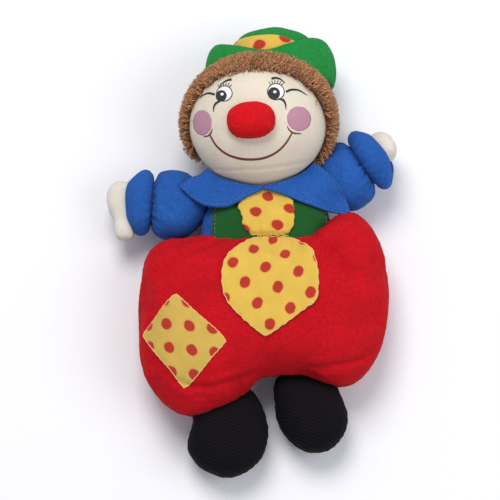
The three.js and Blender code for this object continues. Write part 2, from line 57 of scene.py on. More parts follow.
# ---------------------------------------------------------------- driving dimensions
TROUSERS = dict(low=-3, mid=31, high=60, edge=0.8, crown=0.8)
TROUSERS_CENTRE = (1, 0)
TROUSERS_OUTLINE = [
    (-68, 47.2), (-77.5, 34), (-81.3, 5), (-79.3, -34), (-69.5, -54), (-57, -65), (-45, -68.5),
    (-29, -65), (-12, -56), (1, -46), (27, -44.8), (48, -48.8), (59, -47.5), (70.5, -37), (79, -20),
    (83, 5), (82.6, 24), (79.5, 42), (71, 58.5), (61, 67.5), (52.7, 67.6), (46.6, 63.6), (43, 56.5),
    (36, 53.6), (26, 53.6), (8, 55), (-14, 55.4), (-44, 51.2),
]
TROUSERS_CREASES = [
    ([(-60, -46), (-46, -52.5), (-33, -53), (-20, -49.5), (-8, -45), (2, -40)], 2.4, 2.0),
    ([(12, -39), (26, -40.5), (40, -40), (54, -37.5), (66, -33), (74, -26)], 2.4, 2.0),
    ([(-40, -46), (-24, -43), (-12, -38)], 0.9, 3),
    ([(24, -34), (40, -33), (54, -30)], 0.9, 4),
    ([(-24, 48), (-42, 39), (-58, 29), (-70, 17)], 3.2, 3.0),
    ([(-36, 50), (-50, 46), (-62, 38)], 1.4, 3),
    ([(32, 50), (42, 37), (52, 27), (64, 17)], 3.2, 3.0),
    ([(40, 32), (54, 38), (70, 48)], 1.6, 3.6),
]
TORSO = dict(low=3, mid=24, high=46, edge=0.6, crown=0.55)
TORSO_CENTRE = (0, 52)
TORSO_OUTLINE = [
    (-38, 30), (-40, 46), (-39, 62), (-32, 74), (-16, 79), (14, 79), (32, 78), (42, 71), (45.5, 57),
    (44, 40), (38, 28), (18, 22), (-18, 22),
]
HAND_SPACE = dict(width=84, height=27, low=7.5)
HAND_SPACE_MIDDLE = HAND_SPACE["low"] + HAND_SPACE["height"] / 2
MOUTH_INSET = 15.5
NECK = Vector((-0.5, 83, 36))
HEAD_CENTRE = Vector((-2.6, 123.4, 46.5))
HEAD_RADII = np.array((45, 42, 40))
HAIR_RADII = np.array((48.5, 45.5, 42))
HAIR_FRONT, HAIR_SLOPE = 9, 0.7
HAIR_STRANDS = 46000
NAPE = -28
CHIN_AT, CHIN_SLOPE = -27.7, -0.404
NOSE = np.array((-0.8, -8.3, 40.4))
NOSE_RADII = np.array((15.6, 11.6, 12))
ARMS = {
    "left": dict(place=(-41, 72, 23.5), angle=175, pitch=0, short=0, slim=1, turn=0, shift=(0, 0, 0)),
    "right": dict(place=(40.4, 82.5, 23.5), angle=33, pitch=10, short=0.42, slim=0.88, turn=-90,
                  shift=(1.5, 2.6, 0)),
}
ARM_FLAT = 0.88
SLEEVE = [
    (-6, 8), (-3, 12), (2, 15.5), (6, 19.5), (11, 22.4), (17, 23.2), (22, 22.8), (27, 20.6), (30.5, 16.6),
]
CUFF = [
    (31.2, 13.4), (31.7, 16.8), (33.4, 19.8), (36.2, 21.7), (38.8, 22.1), (41.2, 21.3), (43.6, 19.2),
    (45.8, 16.6), (46.7, 15.0), (46.3, 14.2), (45.0, 14.7), (42.8, 17.2), (40, 19.4), (37, 19.8),
    (34.6, 17.8), (33.0, 13.8),
]
CUFF_START, CUFF_END = 31.4, 48
MITTEN_PALM = [
    (28, -8), (38, -10.4), (47, -12.4), (54, -12.8), (59, -10.4), (61.6, -5), (61.4, 1.5), (59.4, 7.5),
    (56, 12.5), (51, 14.4), (45, 13.4), (38, 10.8), (28, 8),
]
MITTEN_THUMB = [
    (45, 3), (42.6, 14), (41, 20), (40.8, 23.8), (43, 26.2), (52.6, 26), (54.4, 21.6), (55.4, 14),
    (57, 6), (56, 3),
]
MITTEN_LEVEL = 30
SHOES = dict(low=1, mid=19, high=37, edge=0.75, crown=0.8)
SHOE_OUTLINES = {
    "left": [
        (-46, -58), (-47, -70), (-49.4, -86), (-46, -93.4), (-38.6, -101), (-24.4, -106.4), (-12, -104),
        (0.6, -93.4), (5, -78), (3, -65), (-3, -51), (-10, -46), (-28, -48),
    ],
    "right": [
        (8, -40), (7.4, -60), (11.2, -74), (20.2, -85.2), (32, -90.4), (45.6, -87.6), (55, -76),
        (56.6, -66),
        (54, -56), (47, -43), (28, -38),
    ],
}
SHOE_CENTRES = {"left": (-22, -80), "right": (31, -66)}
FLAPS = {
    "left": dict(centre=(-26, 77), flat=(0.052, 0.019), hinge=((-18, 84.5, 50), (-22.5, 74, 50)), outline=[
        (-30, 98), (-35, 93.4), (-40.3, 89.6), (-48.1, 87), (-53.6, 81.6), (-52.6, 79.2), (-45.5, 73.2),
        (-37.7, 68), (-29.9, 66.2), (-22.1, 66.2), (-15.6, 69), (-9, 73.2), (1.2, 77.4), (0.6, 86), (-14, 94),
    ]),
    "right": dict(centre=(33, 76), flat=(0.055, 0.022), hinge=((19, 85.5, 50), (23, 75, 50)), outline=[
        (0.4, 86), (0.2, 77.6), (7, 76), (15.6, 73.4), (27.5, 68.8), (39.4, 65.4), (53, 63), (57.8, 65),
        (56, 71.5), (49.4, 83.2), (41.6, 92), (34.4, 98), (17, 93),
    ]),
}
KNOT_OUTLINE = [
    (-4, 81), (6, 81), (17, 76), (20.6, 68), (21, 61), (20.4, 54), (17, 49), (13, 47.2), (4, 46.8),
    (-6, 47.2), (-9.6, 50), (-12.6, 54), (-13, 60), (-15.6, 68), (-12, 76),
]
BLADE_CENTRE = (5.5, 14)
BLADE_OUTLINE = [
    (-5, 46.6), (-11.6, 43), (-18.3, 38), (-23.4, 32.6), (-26.3, 24.1), (-26.8, 15.8), (-25.8, 7.7),
    (-23.2, 0.6), (-16.3, -7.6), (-6.3, -16.8), (0.4, -21.4), (4, -21.4), (15.6, -13.6), (27.5, -4.5),
    (35.3, 2), (36.8, 11.8), (36.6, 22), (35, 30.5), (32.4, 37.4), (26, 42.6), (18.5, 46.8), (8, 47.6),
]
TIE_GATHER = 47.3
BIB_OUTLINE = [(-32.5, 38), (-32.5, 73), (42, 73), (44, 62), (43, 48), (40, 38)]
PATCH_OUTLINE = [(-55.6, 8.4), (-21.4, -24.4), (-49.8, -54.6), (-78.6, -16.6)]
HAT_PLACE = (8.5, 42.9, -17.5)
CROWN = [(-5, 27), (0, 28), (6, 28), (12.7, 26.8), (17, 24), (20.4, 19.6), (23.2, 12.5), (24.8, 4.5)]
CROWN_ASIDE, CROWN_FLAT = 2.6, 0.82
BRIM = [
    (0.6, 26.3), (-4, 31), (-10, 37.6), (-10.6, 40.2), (-8, 42.6), (-3, 43.6), (1.4, 42.4), (4, 39.8),
    (4.6, 38), (3.6, 37), (1, 39), (-3.5, 40), (-7.4, 38.2), (-3.4, 32), (2, 27.2),
]
HAT_BAND = [
    (0.8, 28.6), (1.6, 29.1), (7.2, 28.9), (12.8, 27.7), (13.6, 27), (12.6, 26.2), (7, 27.4), (1.6, 27.6),
]
EDGE_STEPS = (0, 0.25, 0.7, 1.3, 1.9, 2.5, 3.2, 4.2)
RIB_PITCH = 2.2
DOT_RADIUS = 3.55

RED = (0.50, 0.0055, 0.012)
NOSE_RED = (0.58, 0.007, 0.012)
DOT_RED = (0.40, 0.027, 0.012)
BLUE = (0.021, 0.098, 0.37)
HAT_GREEN = (0.0165, 0.232, 0.046)
BIB_GREEN = (0.0035, 0.076, 0.0098)
YELLOW = (0.63, 0.414, 0.062)
PATCH_YELLOW = (0.56, 0.372, 0.071)
EDGE_YELLOW = (0.80, 0.50, 0.19)
CREAM = (0.67, 0.607, 0.492)
CHIN_CREAM = (0.684, 0.619, 0.50)
WHITE_CLOTH = (0.66, 0.615, 0.54)
LINING = (0.64, 0.58, 0.48)
FUR_TIP = (0.60, 0.29, 0.135)
# Dark brown of the pile's roots and of the backing under it: painted shade deep in the pile.
FUR_ROOT_SHADE = (0.13, 0.045, 0.018)
BLACK = (0.0062, 0.0052, 0.0068)


# ---------------------------------------------------------------- outlines
def turns(columns):
    return np.linspace(0, FULL, columns, endpoint=False)


def joined(*coordinates):
    """Points from their coordinates, each an array or one number for all of them."""
    return np.stack(np.broadcast_arrays(*coordinates), axis=-1)


def turned(degrees, axis):
    return Matrix.Rotation(math.radians(degrees), 4, axis)


def bell(distance, width):
    """1 at no distance, falling smoothly to 0."""
    return np.exp(-((distance / width) ** 2))


def unit_of(vectors):
    return vectors / np.maximum(np.linalg.norm(vectors, axis=-1, keepdims=True), 1e-9)


def lengths_along(line):
    return np.concatenate([[0], np.cumsum(np.linalg.norm(np.diff(line, axis=0), axis=1))])


def resample(points, count):
    """Evenly spaced points along a closed line."""
    closed = np.vstack([points, points[:1]])
    along = lengths_along(closed)
    at = np.linspace(0, along[-1], count, endpoint=False)
    return joined(*[np.interp(at, along, column) for column in closed.T])


def smooth_loop(points, count):
    """Evenly spaced points on the closed smooth curve through the given ones."""
    p = np.array(points, float)
    a, b, c, d = (np.roll(p, k, axis=0) for k in (1, 0, -1, -2))
    fine = [
        0.5 * (2 * b + (c - a) * s + (2 * a - 5 * b + 4 * c - d) * s**2 + (3 * b - a - 3 * c + d) * s**3)
        for s in np.linspace(0, 1, 16, endpoint=False)
    ]
    return resample(np.stack(fine, axis=1).reshape(-1, p.shape[1]), count)


def smooth_profile(points, count):
    """More points on a smooth curve through an open line."""
    p = np.array(points, float)
    at = lengths_along(p)
    slope = np.gradient(p, at, axis=0)
    out = []
    for s in np.linspace(0, at[-1], count):
        k = min(max(np.searchsorted(at, s) - 1, 0), len(p) - 2)
        h = at[k + 1] - at[k]
        t = (s - at[k]) / h
        out.append((2 * t**3 - 3 * t**2 + 1) * p[k] + (t**3 - 2 * t**2 + t) * h * slope[k]
                   + (3 * t**2 - 2 * t**3) * p[k + 1] + (t**3 - t**2) * h * slope[k + 1])
    return np.array(out)


def closed_profile(points, count):
    return smooth_profile(points + points[:1], count + 1)[:-1]


def cornered_loop(points, count, cut):
    """A closed outline with straight sides and small round corners."""
    p = np.array(points, float)
    for share in (cut, 0.25, 0.25):
        ahead = np.roll(p, -1, axis=0)
        p = np.stack([p + (ahead - p) * share, ahead + (p - ahead) * share], axis=1).reshape(-1, p.shape[1])
    return resample(p, count)


def reach_of(outline, centre):
    """Distance of a closed outline from its centre, as a function of the angle."""
    p = smooth_loop(outline, 360) - np.array(centre)
    angle = np.arctan2(p[:, 1], p[:, 0])
    order = np.argsort(angle)
    return lambda a: np.interp(a, angle[order], np.hypot(*p.T)[order], period=FULL)


def to_line(points, line):
    """Distance of each point from a line of straight stretches, seen from above, and its share along it."""
    line = np.asarray(line, float)
    best = np.full(len(points), np.inf)
    share = np.zeros(len(points))
    for k, (a, b) in enumerate(zip(line[:-1], line[1:])):
        d = b - a
        t = np.clip(((points[:, :2] - a) @ d) / (d @ d), 0, 1)
        away = np.linalg.norm(points[:, :2] - a - t[:, None] * d, axis=1)
        closer = away < best
        best = np.where(closer, away, best)
        share = np.where(closer, (k + t) / (len(line) - 1), share)
    return best, share


# ---------------------------------------------------------------- meshes
def grid_faces(rings, columns, hoop=False):
    """Quads between rings of points, all round; in a hoop, from the last ring to the first as well."""
    faces = []
    for r in range(rings if hoop else rings - 1):
        a, b = r * columns, (r + 1) % rings * columns
        faces += [(a + c, b + c, b + (c + 1) % columns, a + (c + 1) % columns) for c in range(columns)]
    return faces


def capped_faces(rings, columns):
    """Faces through rings of points, with a fan at each end to one of the two points that follow them."""
    first, base = rings * columns, (rings - 1) * columns
    faces = grid_faces(rings, columns)
    faces += [(first, c, (c + 1) % columns) for c in range(columns)]
    return faces + [(first + 1, base + (c + 1) % columns, base + c) for c in range(columns)]


def double_faces(rings, columns):
    """Two skins, each of rings with a point in the middle, joined round their first rings."""
    size = rings * columns + 1
    base = size - 1 - columns
    after = [(c + 1) % columns for c in range(columns)]
    top = grid_faces(rings, columns) + [(size - 1, base + after[c], base + c) for c in range(columns)]
    under = [tuple(size + i for i in reversed(face)) for face in top]
    return top + under + [(c, after[c], size + after[c], size + c) for c in range(columns)]


def add_object(name, data):
    thing = bpy.data.objects.new(name, data)
    bpy.context.scene.collection.objects.link(thing)
    return thing


def volume_of(mesh):
    mesh.calc_loop_triangles()
    p = np.array([v.co for v in mesh.vertices])
    t = np.array([t.vertices for t in mesh.loop_triangles])
    return float((p[t[:, 0]] * np.cross(p[t[:, 1]], p[t[:, 2]])).sum())


def make(name, points, faces, outward=True):
    """A mesh object from points in millimetres, with its faces turned outward."""
    mesh = bpy.data.meshes.new(name)
    mesh.from_pydata((np.asarray(points, float) * MM).tolist(), [], faces)
    mesh.validate()
    if outward and volume_of(mesh) < 0:
        mesh.flip_normals()
    mesh.shade_smooth()
    return add_object(name, mesh)


def loft(name, rings):
    """A closed body through rings of points."""
    rings = np.asarray(rings, float)
    points = np.vstack([rings.reshape(-1, 3), rings[0].mean(0), rings[-1].mean(0)])
    return make(name, points, capped_faces(*rings.shape[:2]))


def closed_band(name, rings):
    """A hollow ring of cloth from rings of points that go round its own thickness."""
    return make(name, rings.reshape(-1, 3), grid_faces(*rings.shape[:2], hoop=True))


def puff(name, outline, centre, form, grow=0, columns=96, rows=40):
    """A stuffed form over an outline: widest at its middle height, and crowned above and below."""
    reach = reach_of(outline, centre)
    angle = np.linspace(-math.pi, math.pi, columns, endpoint=False)
    rings = []
    for tilt in np.linspace(0, math.pi, rows)[1:-1]:
        out = (reach(angle) + grow) * math.sin(tilt) ** form["edge"]
        side = form["high"] - form["mid"] if tilt < math.pi / 2 else form["low"] - form["mid"]
        z = form["mid"] + (side + math.copysign(grow, side)) * abs(math.cos(tilt)) ** form["crown"]
        rings.append(joined(centre[0] + out * np.cos(angle), centre[1] + out * np.sin(angle), max(z, LOWEST)))
    return loft(name, rings)


def ball(name, radii, columns, rows):
    """An ellipsoid about the origin, with its poles along Y."""
    angle = turns(columns)
    rings = []
    for tilt in np.linspace(0, math.pi, rows)[1:-1]:
        out = math.sin(tilt)
        rings.append(joined(out * np.sin(angle), math.cos(tilt), out * np.cos(angle)) * radii)
    return loft(name, rings)


def tube(path, radius, sides, closed=False):
    """Points and faces of a round tube along a path."""
    path = np.asarray(path, float)
    radius = np.broadcast_to(radius, len(path))[:, None, None]
    ahead = np.roll(path, -1, axis=0) - np.roll(path, 1, axis=0)
    if not closed:
        ahead[0], ahead[-1] = path[1] - path[0], path[-1] - path[-2]
    ahead = unit_of(ahead)
    side = unit_of(np.cross(ahead, np.where(np.abs(ahead[:, 2:3]) > 0.9, (1.0, 0, 0), (0, 0, 1.0))))
    over = np.cross(side, ahead)
    angle = turns(sides)[None, :, None]
    outward = np.cos(angle) * side[:, None] + np.sin(angle) * over[:, None]
    points = (path[:, None] + radius * outward).reshape(-1, 3)
    if closed:
        return points, grid_faces(len(path), sides, hoop=True)
    return np.vstack([points, path[0], path[-1]]), capped_faces(len(path), sides)


def gathered_parts(name, parts):
    """One piece from several lots of points and faces."""
    points, faces, start = [], [], 0
    for p, f in parts:
        points.append(p)
        faces += [tuple(i + start for i in face) for face in f]
        start += len(p)
    return make(name, np.vstack(points), faces)


def cord(name, path, radius, sides, closed=True):
    return gathered_parts(name, [tube(path, radius, sides, closed)])


def moved(points, matrix):
    m = np.array(matrix, float)
    return np.asarray(points, float) @ m[:3, :3].T + m[:3, 3]


def above_floor(points, floor=FLOOR):
    points[..., 2] = np.maximum(points[..., 2], floor)
    return points


def co_of(piece):
    """A piece's points in millimetres."""
    out = np.zeros(len(piece.data.vertices) * 3)
    piece.data.vertices.foreach_get("co", out)
    return out.reshape(-1, 3) / MM


def set_co(piece, points):
    piece.data.vertices.foreach_set("co", (points * MM).ravel())
    piece.data.update()


def normals_of(piece):
    out = np.zeros(len(piece.data.vertices) * 3)
    piece.data.vertex_normals.foreach_get("vector", out)
    return out.reshape(-1, 3)


def swell(piece, amount):
    """Moves each point out along its normal, by amount(points) millimetres."""
    points = co_of(piece)
    set_co(piece, points + normals_of(piece) * amount(points)[:, None])


def modify(piece, kind, **settings):
    """Puts one modifier on a piece and applies it."""
    step = piece.modifiers.new("step", kind)
    for key, value in settings.items():
        setattr(step, key, value)
    mesh = bpy.data.meshes.new_from_object(piece.evaluated_get(bpy.context.evaluated_depsgraph_get()))
    old = piece.data
    piece.modifiers.clear()
    piece.data = mesh
    bpy.data.meshes.remove(old)
    mesh.shade_smooth()


def boolean(piece, operation, other):
    modify(piece, "BOOLEAN", operation=operation, solver="EXACT", object=other)
    bpy.data.objects.remove(other)


def remesh(piece, voxel):
    """One even skin of quads, with the given spacing in millimetres."""
    modify(piece, "REMESH", mode="VOXEL", voxel_size=voxel * MM)


def run_cloth(piece, held, frames=20, **settings):
    """Simulates a skin as cloth and gives its points at the end; held lists the points that stay still."""
    group = piece.vertex_groups.new(name="held")
    for i in held:
        group.add([int(i)], 1.0, "REPLACE")
    cloth = piece.modifiers.new("cloth", "CLOTH").settings
    for key, value in settings.items():
        setattr(cloth, key, value)
    cloth.vertex_group_mass = "held"
    cloth.effector_weights.gravity = 0
    scene = bpy.context.scene
    for number in range(1, frames + 1):
        scene.frame_set(number)
    shown = piece.evaluated_get(bpy.context.evaluated_depsgraph_get())
    mesh = shown.to_mesh()
    end = np.zeros(len(mesh.vertices) * 3)
    mesh.vertices.foreach_get("co", end)
    shown.to_mesh_clear()
    piece.modifiers.clear()
    scene.frame_set(1)
    return end.reshape(-1, 3) / MM


def inflate(piece, held, voxel, pressure, cap, slack, stiff=12, bend=0.3):
    """Fills a closed cloth skin: remesh, a short cloth simulation under pressure, then one subdivision.

    held(points) says which points a seam holds still, slack is how much wider the cloth is cut than
    the form, and no point moves further than cap millimetres.
    """
    remesh(piece, voxel)
    start = co_of(piece)
    end = run_cloth(
        piece, np.flatnonzero(held(start)), quality=4, mass=0.25, bending_stiffness=bend,
        tension_stiffness=stiff, compression_stiffness=stiff, shear_stiffness=stiff / 3,
        use_pressure=True, uniform_pressure_force=pressure, shrink_min=-slack,
    )
    move = end - start
    length = np.linalg.norm(move, axis=1, keepdims=True)
    set_co(piece, start + move * cap * np.tanh(length / cap) / np.maximum(length, 1e-6))
    modify(piece, "SUBSURF", levels=1, render_levels=1)
    set_co(piece, above_floor(co_of(piece)))


def crease(piece, line, depth, width):
    """Presses a soft groove along a line seen from above, fading out at its ends."""

    def pressed(points):
        away, share = to_line(points, line)
        fade = np.clip(np.minimum(share, 1 - share) * 5, 0, 1)
        return -depth * bell(away, width) * fade * np.clip(normals_of(piece)[:, 2] * 2, 0, 1)

    swell(piece, pressed)


def seam(piece, distance, depth, width, pucker):
    """Sinks the cloth where distance(points) is near 0, with small puckers beside the seam."""

    def sunk(points):
        away = distance(points)
        puckers = pucker * np.sin(points[:, 0] * 0.9 + points[:, 1] * 1.1) * bell(away, 4 * width)
        return -depth * bell(away, width) - puckers

    swell(piece, sunk)


def unevenness(piece, amount, size, seed):
    """Slow lumps of the filling under the cloth."""
    start = Vector((seed, 0, 0))
    swell(piece, lambda points: amount * np.array([noise.noise(Vector(p / size) + start) for p in points]))


# ---------------------------------------------------------------- materials
MATERIALS = {}


class Look:
    """A material being made: every method adds one step and gives its output."""

    def __init__(self, name):
        material = bpy.data.materials.new(name)
        material.use_nodes = True
        self.tree = material.node_tree
        self.tree.nodes.clear()
        self.shader = self.node("BsdfPrincipled")
        self.node("OutputMaterial", Surface=self.shader.outputs["BSDF"])
        MATERIALS[name] = material

    def feed(self, socket, value):
        if isinstance(value, bpy.types.NodeSocket):
            self.tree.links.new(value, socket)
        else:
            socket.default_value = (*value, 1) if isinstance(value, tuple) else value

    def node(self, kind, **inputs):
        node = self.tree.nodes.new("ShaderNode" + kind)
        for key, value in inputs.items():
            self.feed(node.inputs[key.replace("_", " ")], value)
        return node

    def surface(self, **inputs):
        for key, value in inputs.items():
            self.feed(self.shader.inputs[key.replace("_", " ")], value)

    def kept(self, name, output="Vector"):
        """A value kept on the piece's points."""
        node = self.node("Attribute")
        node.attribute_name = name
        return node.outputs[output]

    def rest(self):
        """Places on the cloth at rest, in metres, so that a pattern stays on the cloth when it bends."""
        return self.kept("rest")

    def split(self, place):
        return self.node("SeparateXYZ", Vector=place).outputs

    def noise(self, place, scale, detail=2.0, rough=0.5):
        node = self.node("TexNoise", Scale=scale, Detail=detail, Roughness=rough, Vector=place)
        return node.outputs["Fac"]

    def ranged(self, value, low, high, start=0.25, end=0.75):
        node = self.node("MapRange", From_Min=start, From_Max=end, To_Min=low, To_Max=high, Value=value)
        return node.outputs["Result"]

    def math(self, operation, *values):
        node = self.node("Math")
        node.operation = operation
        for socket, value in zip(node.inputs, values):
            self.feed(socket, value)
        return node.outputs["Value"]

    def add_share(self, value, share, to):
        """to + value * share"""
        return self.math("MULTIPLY_ADD", value, share, to)

    def wave(self, along, pitch):
        return self.math("SINE", self.math("MULTIPLY", along, FULL / (pitch * MM)))

    def mixed(self, share, a, b):
        node = self.node("Mix")
        node.data_type = "RGBA"
        sockets = [s for s in node.inputs if s.name in ("Factor", "A", "B") and s.enabled]
        for socket, value in zip(sockets, (share, a, b)):
            self.feed(socket, value)
        return next(s for s in node.outputs if s.name == "Result" and s.enabled)

    def patchy(self, grain, low, high):
        return self.mixed(self.ranged(grain, 0, 1), low, high)

    def brightened(self, colour, value):
        return self.node("HueSaturation", Value=value, Color=colour).outputs["Color"]

    def bumped(self, height, strength, distance):
        node = self.node("Bump", Strength=strength, Distance=distance, Height=height)
        self.surface(Normal=node.outputs["Normal"])


def darker(colour, share):
    return tuple(c * share for c in colour)


def lighter(colour, share):
    return tuple(c + (1 - c) * share for c in colour)


def pile_cloth(name, colour, nap, patchy, sheen, tint=None, bump=0.5, shade=0.62, mottle=0.12, ribs=0.0):
    """Velour, felt or brushed jersey: a short pile whose lie shows as soft lighter and darker patches."""
    look = Look(name)
    place = look.rest()
    broad = look.ranged(look.noise(place, 55, 3), 0, 1, 0.35, 0.65)
    grain = look.noise(place, 1000 / nap, 3, 0.65)
    fine = look.noise(place, 4200, 2, 0.6)
    base = look.mixed(broad, darker(colour, 1 - patchy), darker(colour, 1 + patchy / 2))
    dark = look.mixed(look.ranged(grain, 0.0, 0.55, 0.62, 0.3), base, darker(colour, shade))
    tufts = look.ranged(look.noise(place, 420, 3, 0.6), 1 - mottle, 1 + mottle, 0.3, 0.7)
    if ribs:
        axes = look.split(place)
        wave = look.wave(look.add_share(axes["X"], 0.35, axes["Y"]), RIB_PITCH)
        tufts = look.add_share(wave, ribs, tufts)
        grain = look.add_share(wave, 0.3, grain)
    look.surface(
        Base_Color=look.brightened(dark, tufts), Roughness=look.ranged(fine, 0.82, 1.0), Sheen_Weight=sheen,
        Sheen_Roughness=0.45, Sheen_Tint=tint or lighter(colour, 0.25), Specular_IOR_Level=0.08,
    )
    look.bumped(look.add_share(fine, 0.35, look.math("MULTIPLY", grain, 0.8)), bump, 0.0006)


def weave_over(look, place, colour, pitch, worn, bump):
    """Fine crossed threads, slubs and slightly uneven dye."""
    axes = look.split(place)
    both = look.math("MULTIPLY", look.wave(axes["X"], pitch), look.wave(axes["Y"], pitch))
    threads = look.add_share(both, 0.5, 0.5)
    slub = look.noise(place, 1400, 2, 0.6)
    dye = look.ranged(look.noise(place, 90, 3), -worn, worn)
    tone = look.math("ADD", look.math("ADD", dye, look.ranged(slub, -worn, worn * 0.6)), 1.0)
    look.surface(
        Base_Color=look.brightened(colour, tone), Roughness=look.ranged(slub, 0.75, 0.95),
        Sheen_Weight=0.12, Specular_IOR_Level=0.25,
    )
    look.bumped(look.add_share(threads, 0.4, slub), bump, 0.00035)


def plain_weave(name, colour, pitch):
    look = Look(name)
    weave_over(look, look.rest(), colour, pitch, 0.1, 0.35)


def dotted_cotton(name, start, across, up, ground):
    """Cotton printed with red dots: start is one dot's middle, across and up the steps to the next."""
    look = Look(name)
    place = look.rest()
    step = np.array([across, up], float).T * MM
    axes = look.split(place)
    x = look.math("SUBTRACT", axes["X"], start[0] * MM)
    y = look.math("SUBTRACT", axes["Y"], start[1] * MM)
    squares = []
    for row in np.linalg.inv(step):
        steps = look.add_share(x, float(row[0]), look.math("MULTIPLY", y, float(row[1])))
        squares.append(look.math("POWER", look.math("SUBTRACT", steps, look.math("ROUND", steps)), 2.0))
    spacing = float(np.linalg.norm(step, axis=0).mean()) / MM
    wobble = look.ranged(look.noise(place, 260, 2), -0.35, 0.35)
    far = look.add_share(look.math("SQRT", look.math("ADD", *squares)), spacing, wobble)
    inside = look.ranged(far, 1.0, 0.0, DOT_RADIUS - 0.18, DOT_RADIUS + 0.18)
    halo = look.ranged(far, 1.0, 0.0, DOT_RADIUS + 0.3, DOT_RADIUS + 1.1)
    around = look.mixed(halo, ground, (ground[0], ground[1] * 0.72, ground[2]))
    weave_over(look, place, look.mixed(inside, around, DOT_RED), 0.5, 0.07, 0.3)


def pile_fibre(name, root, tip):
    """Curly plush pile, each tuft a little different; darker at the roots than at the tips, which is painted
    shade deep in the pile.
    """
    look = Look(name)
    colour = look.mixed(look.ranged(look.kept("tip", "Fac"), 0, 1, 0.0, 1.0), root, tip)
    tone = look.ranged(look.kept("tone", "Fac"), 0.5, 1.4, 0.0, 1.0)
    look.surface(
        Base_Color=look.brightened(colour, tone), Roughness=0.85, Sheen_Weight=0.25,
        Sheen_Tint=lighter(tip, 0.3), Specular_IOR_Level=0.2,
    )
    look.bumped(look.noise(look.rest(), 2600, 2), 0.3, 0.0003)


def ink(name, colour, edge=0.12):
    """Printing ink that has sunk into brushed cloth."""
    look = Look(name)
    grain = look.noise(look.rest(), 1500, 3, 0.6)
    look.surface(
        Base_Color=look.patchy(grain, darker(colour, 1 - edge), lighter(colour, edge / 3)),
        Roughness=look.ranged(grain, 0.6, 0.85), Specular_IOR_Level=0.2,
    )
    look.bumped(grain, 0.25, 0.0003)


def make_materials():
    pile_cloth("red_velour", RED, 1.2, 0.12, 0.05, (1, 0.3, 0.25))
    pile_cloth("blue_jersey", BLUE, 1.0, 0.11, 0.1, (0.4, 0.6, 1))
    pile_cloth("hat_felt", HAT_GREEN, 1.1, 0.06, 0.06, (0.4, 1, 0.5))
    pile_cloth("face_fleece", CREAM, 1.0, 0.04, 0.1, bump=0.3, shade=0.92, mottle=0.03)
    pile_cloth("chin_fleece", CHIN_CREAM, 1.0, 0.04, 0.1, bump=0.3, shade=0.92, mottle=0.03)
    pile_cloth("hand_fleece", WHITE_CLOTH, 1.2, 0.05, 0.1, bump=0.35, shade=0.9, mottle=0.04)
    pile_cloth("nose_fleece", NOSE_RED, 1.0, 0.05, 0.05, (1, 0.35, 0.3))
    pile_cloth("black_velour", BLACK, 1.6, 0.02, 0.03, (0.15, 0.15, 0.25), shade=0.7, ribs=0.35)
    # The backing under the pile takes the dark root colour: painted shade.
    pile_cloth("fur_backing", FUR_ROOT_SHADE, 1.6, 0.3, 0.1)
    pile_fibre("fur_plush", FUR_ROOT_SHADE, FUR_TIP)
    plain_weave("bib_cotton", BIB_GREEN, 0.55)
    plain_weave("lining_cotton", LINING, 0.7)
    plain_weave("blue_thread", darker(BLUE, 0.6), 0.4)
    plain_weave("blue_stitch", lighter(BLUE, 0.045), 0.4)
    plain_weave("green_stitch", lighter(BIB_GREEN, 0.12), 0.4)
    plain_weave("yellow_thread", darker(YELLOW, 0.85), 0.4)
    plain_weave("edge_thread", EDGE_YELLOW, 0.4)
    ink("ink_black", (0.012, 0.011, 0.012))
    ink("ink_brown", (0.13, 0.016, 0.014))
    ink("ink_white", (0.80, 0.80, 0.79))
    ink("ink_mauve", (0.45, 0.215, 0.29), 0.14)
    dotted_cotton("tie_cotton", (2.1, 23.6), (13.1, 10.4), (-7.9, 13.6), YELLOW)
    dotted_cotton("knot_cotton", (-4.2, 62.4), (14.2, -9.0), (8.0, 11.7), YELLOW)
    dotted_cotton("patch_cotton", (-59.9, -27.6), (15.0, -2.1), (1.6, -15.6), PATCH_YELLOW)
    dotted_cotton("band_cotton", (-6.6, 6), (14.5, 5.6), (-5.6, 14.5), YELLOW)


# ---------------------------------------------------------------- placing pieces
def keep_rest(piece, places):
    rest = piece.data.attributes.new("rest", "FLOAT_VECTOR", "POINT")
    rest.data.foreach_set("vector", (places * MM).ravel())


def dress(piece, material, slot=None, body=None, *nodes):
    """Gives a piece its cloth, the body it rides and the CAD nodes whose place it takes. slot is not used."""
    piece.data.materials.clear()
    piece.data.materials.append(MATERIALS[material])
    if "rest" not in piece.data.attributes:
        keep_rest(piece, co_of(piece))
    if body:
        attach(piece, body)
    if nodes:
        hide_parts(*nodes)
    return piece


def metres(point):
    return tuple(float(c) * MM for c in point)


# ---------------------------------------------------------------- cloth on top of other pieces
def surface_of(piece):
    return BVHTree.FromPolygons(co_of(piece).tolist(), [face.vertices[:] for face in piece.data.polygons])


class Ground:
    """The highest surface of some pieces, seen from above."""

    def __init__(self, *pieces):
        self.trees = [surface_of(piece) for piece in pieces]

    def top(self, places, low):
        out = []
        for x, y in places.reshape(-1, 2):
            hits = [tree.ray_cast(Vector((x, y, 300)), Vector((0, 0, -1)))[0] for tree in self.trees]
            out.append(max([hit.z for hit in hits if hit is not None], default=low))
        return np.array(out).reshape(places.shape[:-1])


def inset_rings(loop, centre, inner):
    """Rings of points from an outline to its centre: at fixed distances near the edge, then evenly."""
    away = centre - loop
    rings = [loop + unit_of(away) * d for d in EDGE_STEPS]
    rings += [rings[-1] + (centre - rings[-1]) * share for share in np.linspace(0, 1, inner + 1)[1:-1]]
    return np.array(rings)


def settle(under, lift, rounds):
    """Heights of a cloth that bridges hollows but never sinks into what is under it."""
    floor = under + lift
    z = floor.copy()
    for _ in range(rounds):
        around = (np.roll(z, 1, axis=1) + np.roll(z, -1, axis=1)) / 2
        inward = z.copy()
        inward[1:-1] = (z[:-2] + z[2:]) / 2
        inward[0] = z[1] - (z[2] - z[1]) * 0.3
        inward[-1] = z[-1].mean()
        z = np.maximum(z / 2 + (around + inward) / 4, floor)
    return z


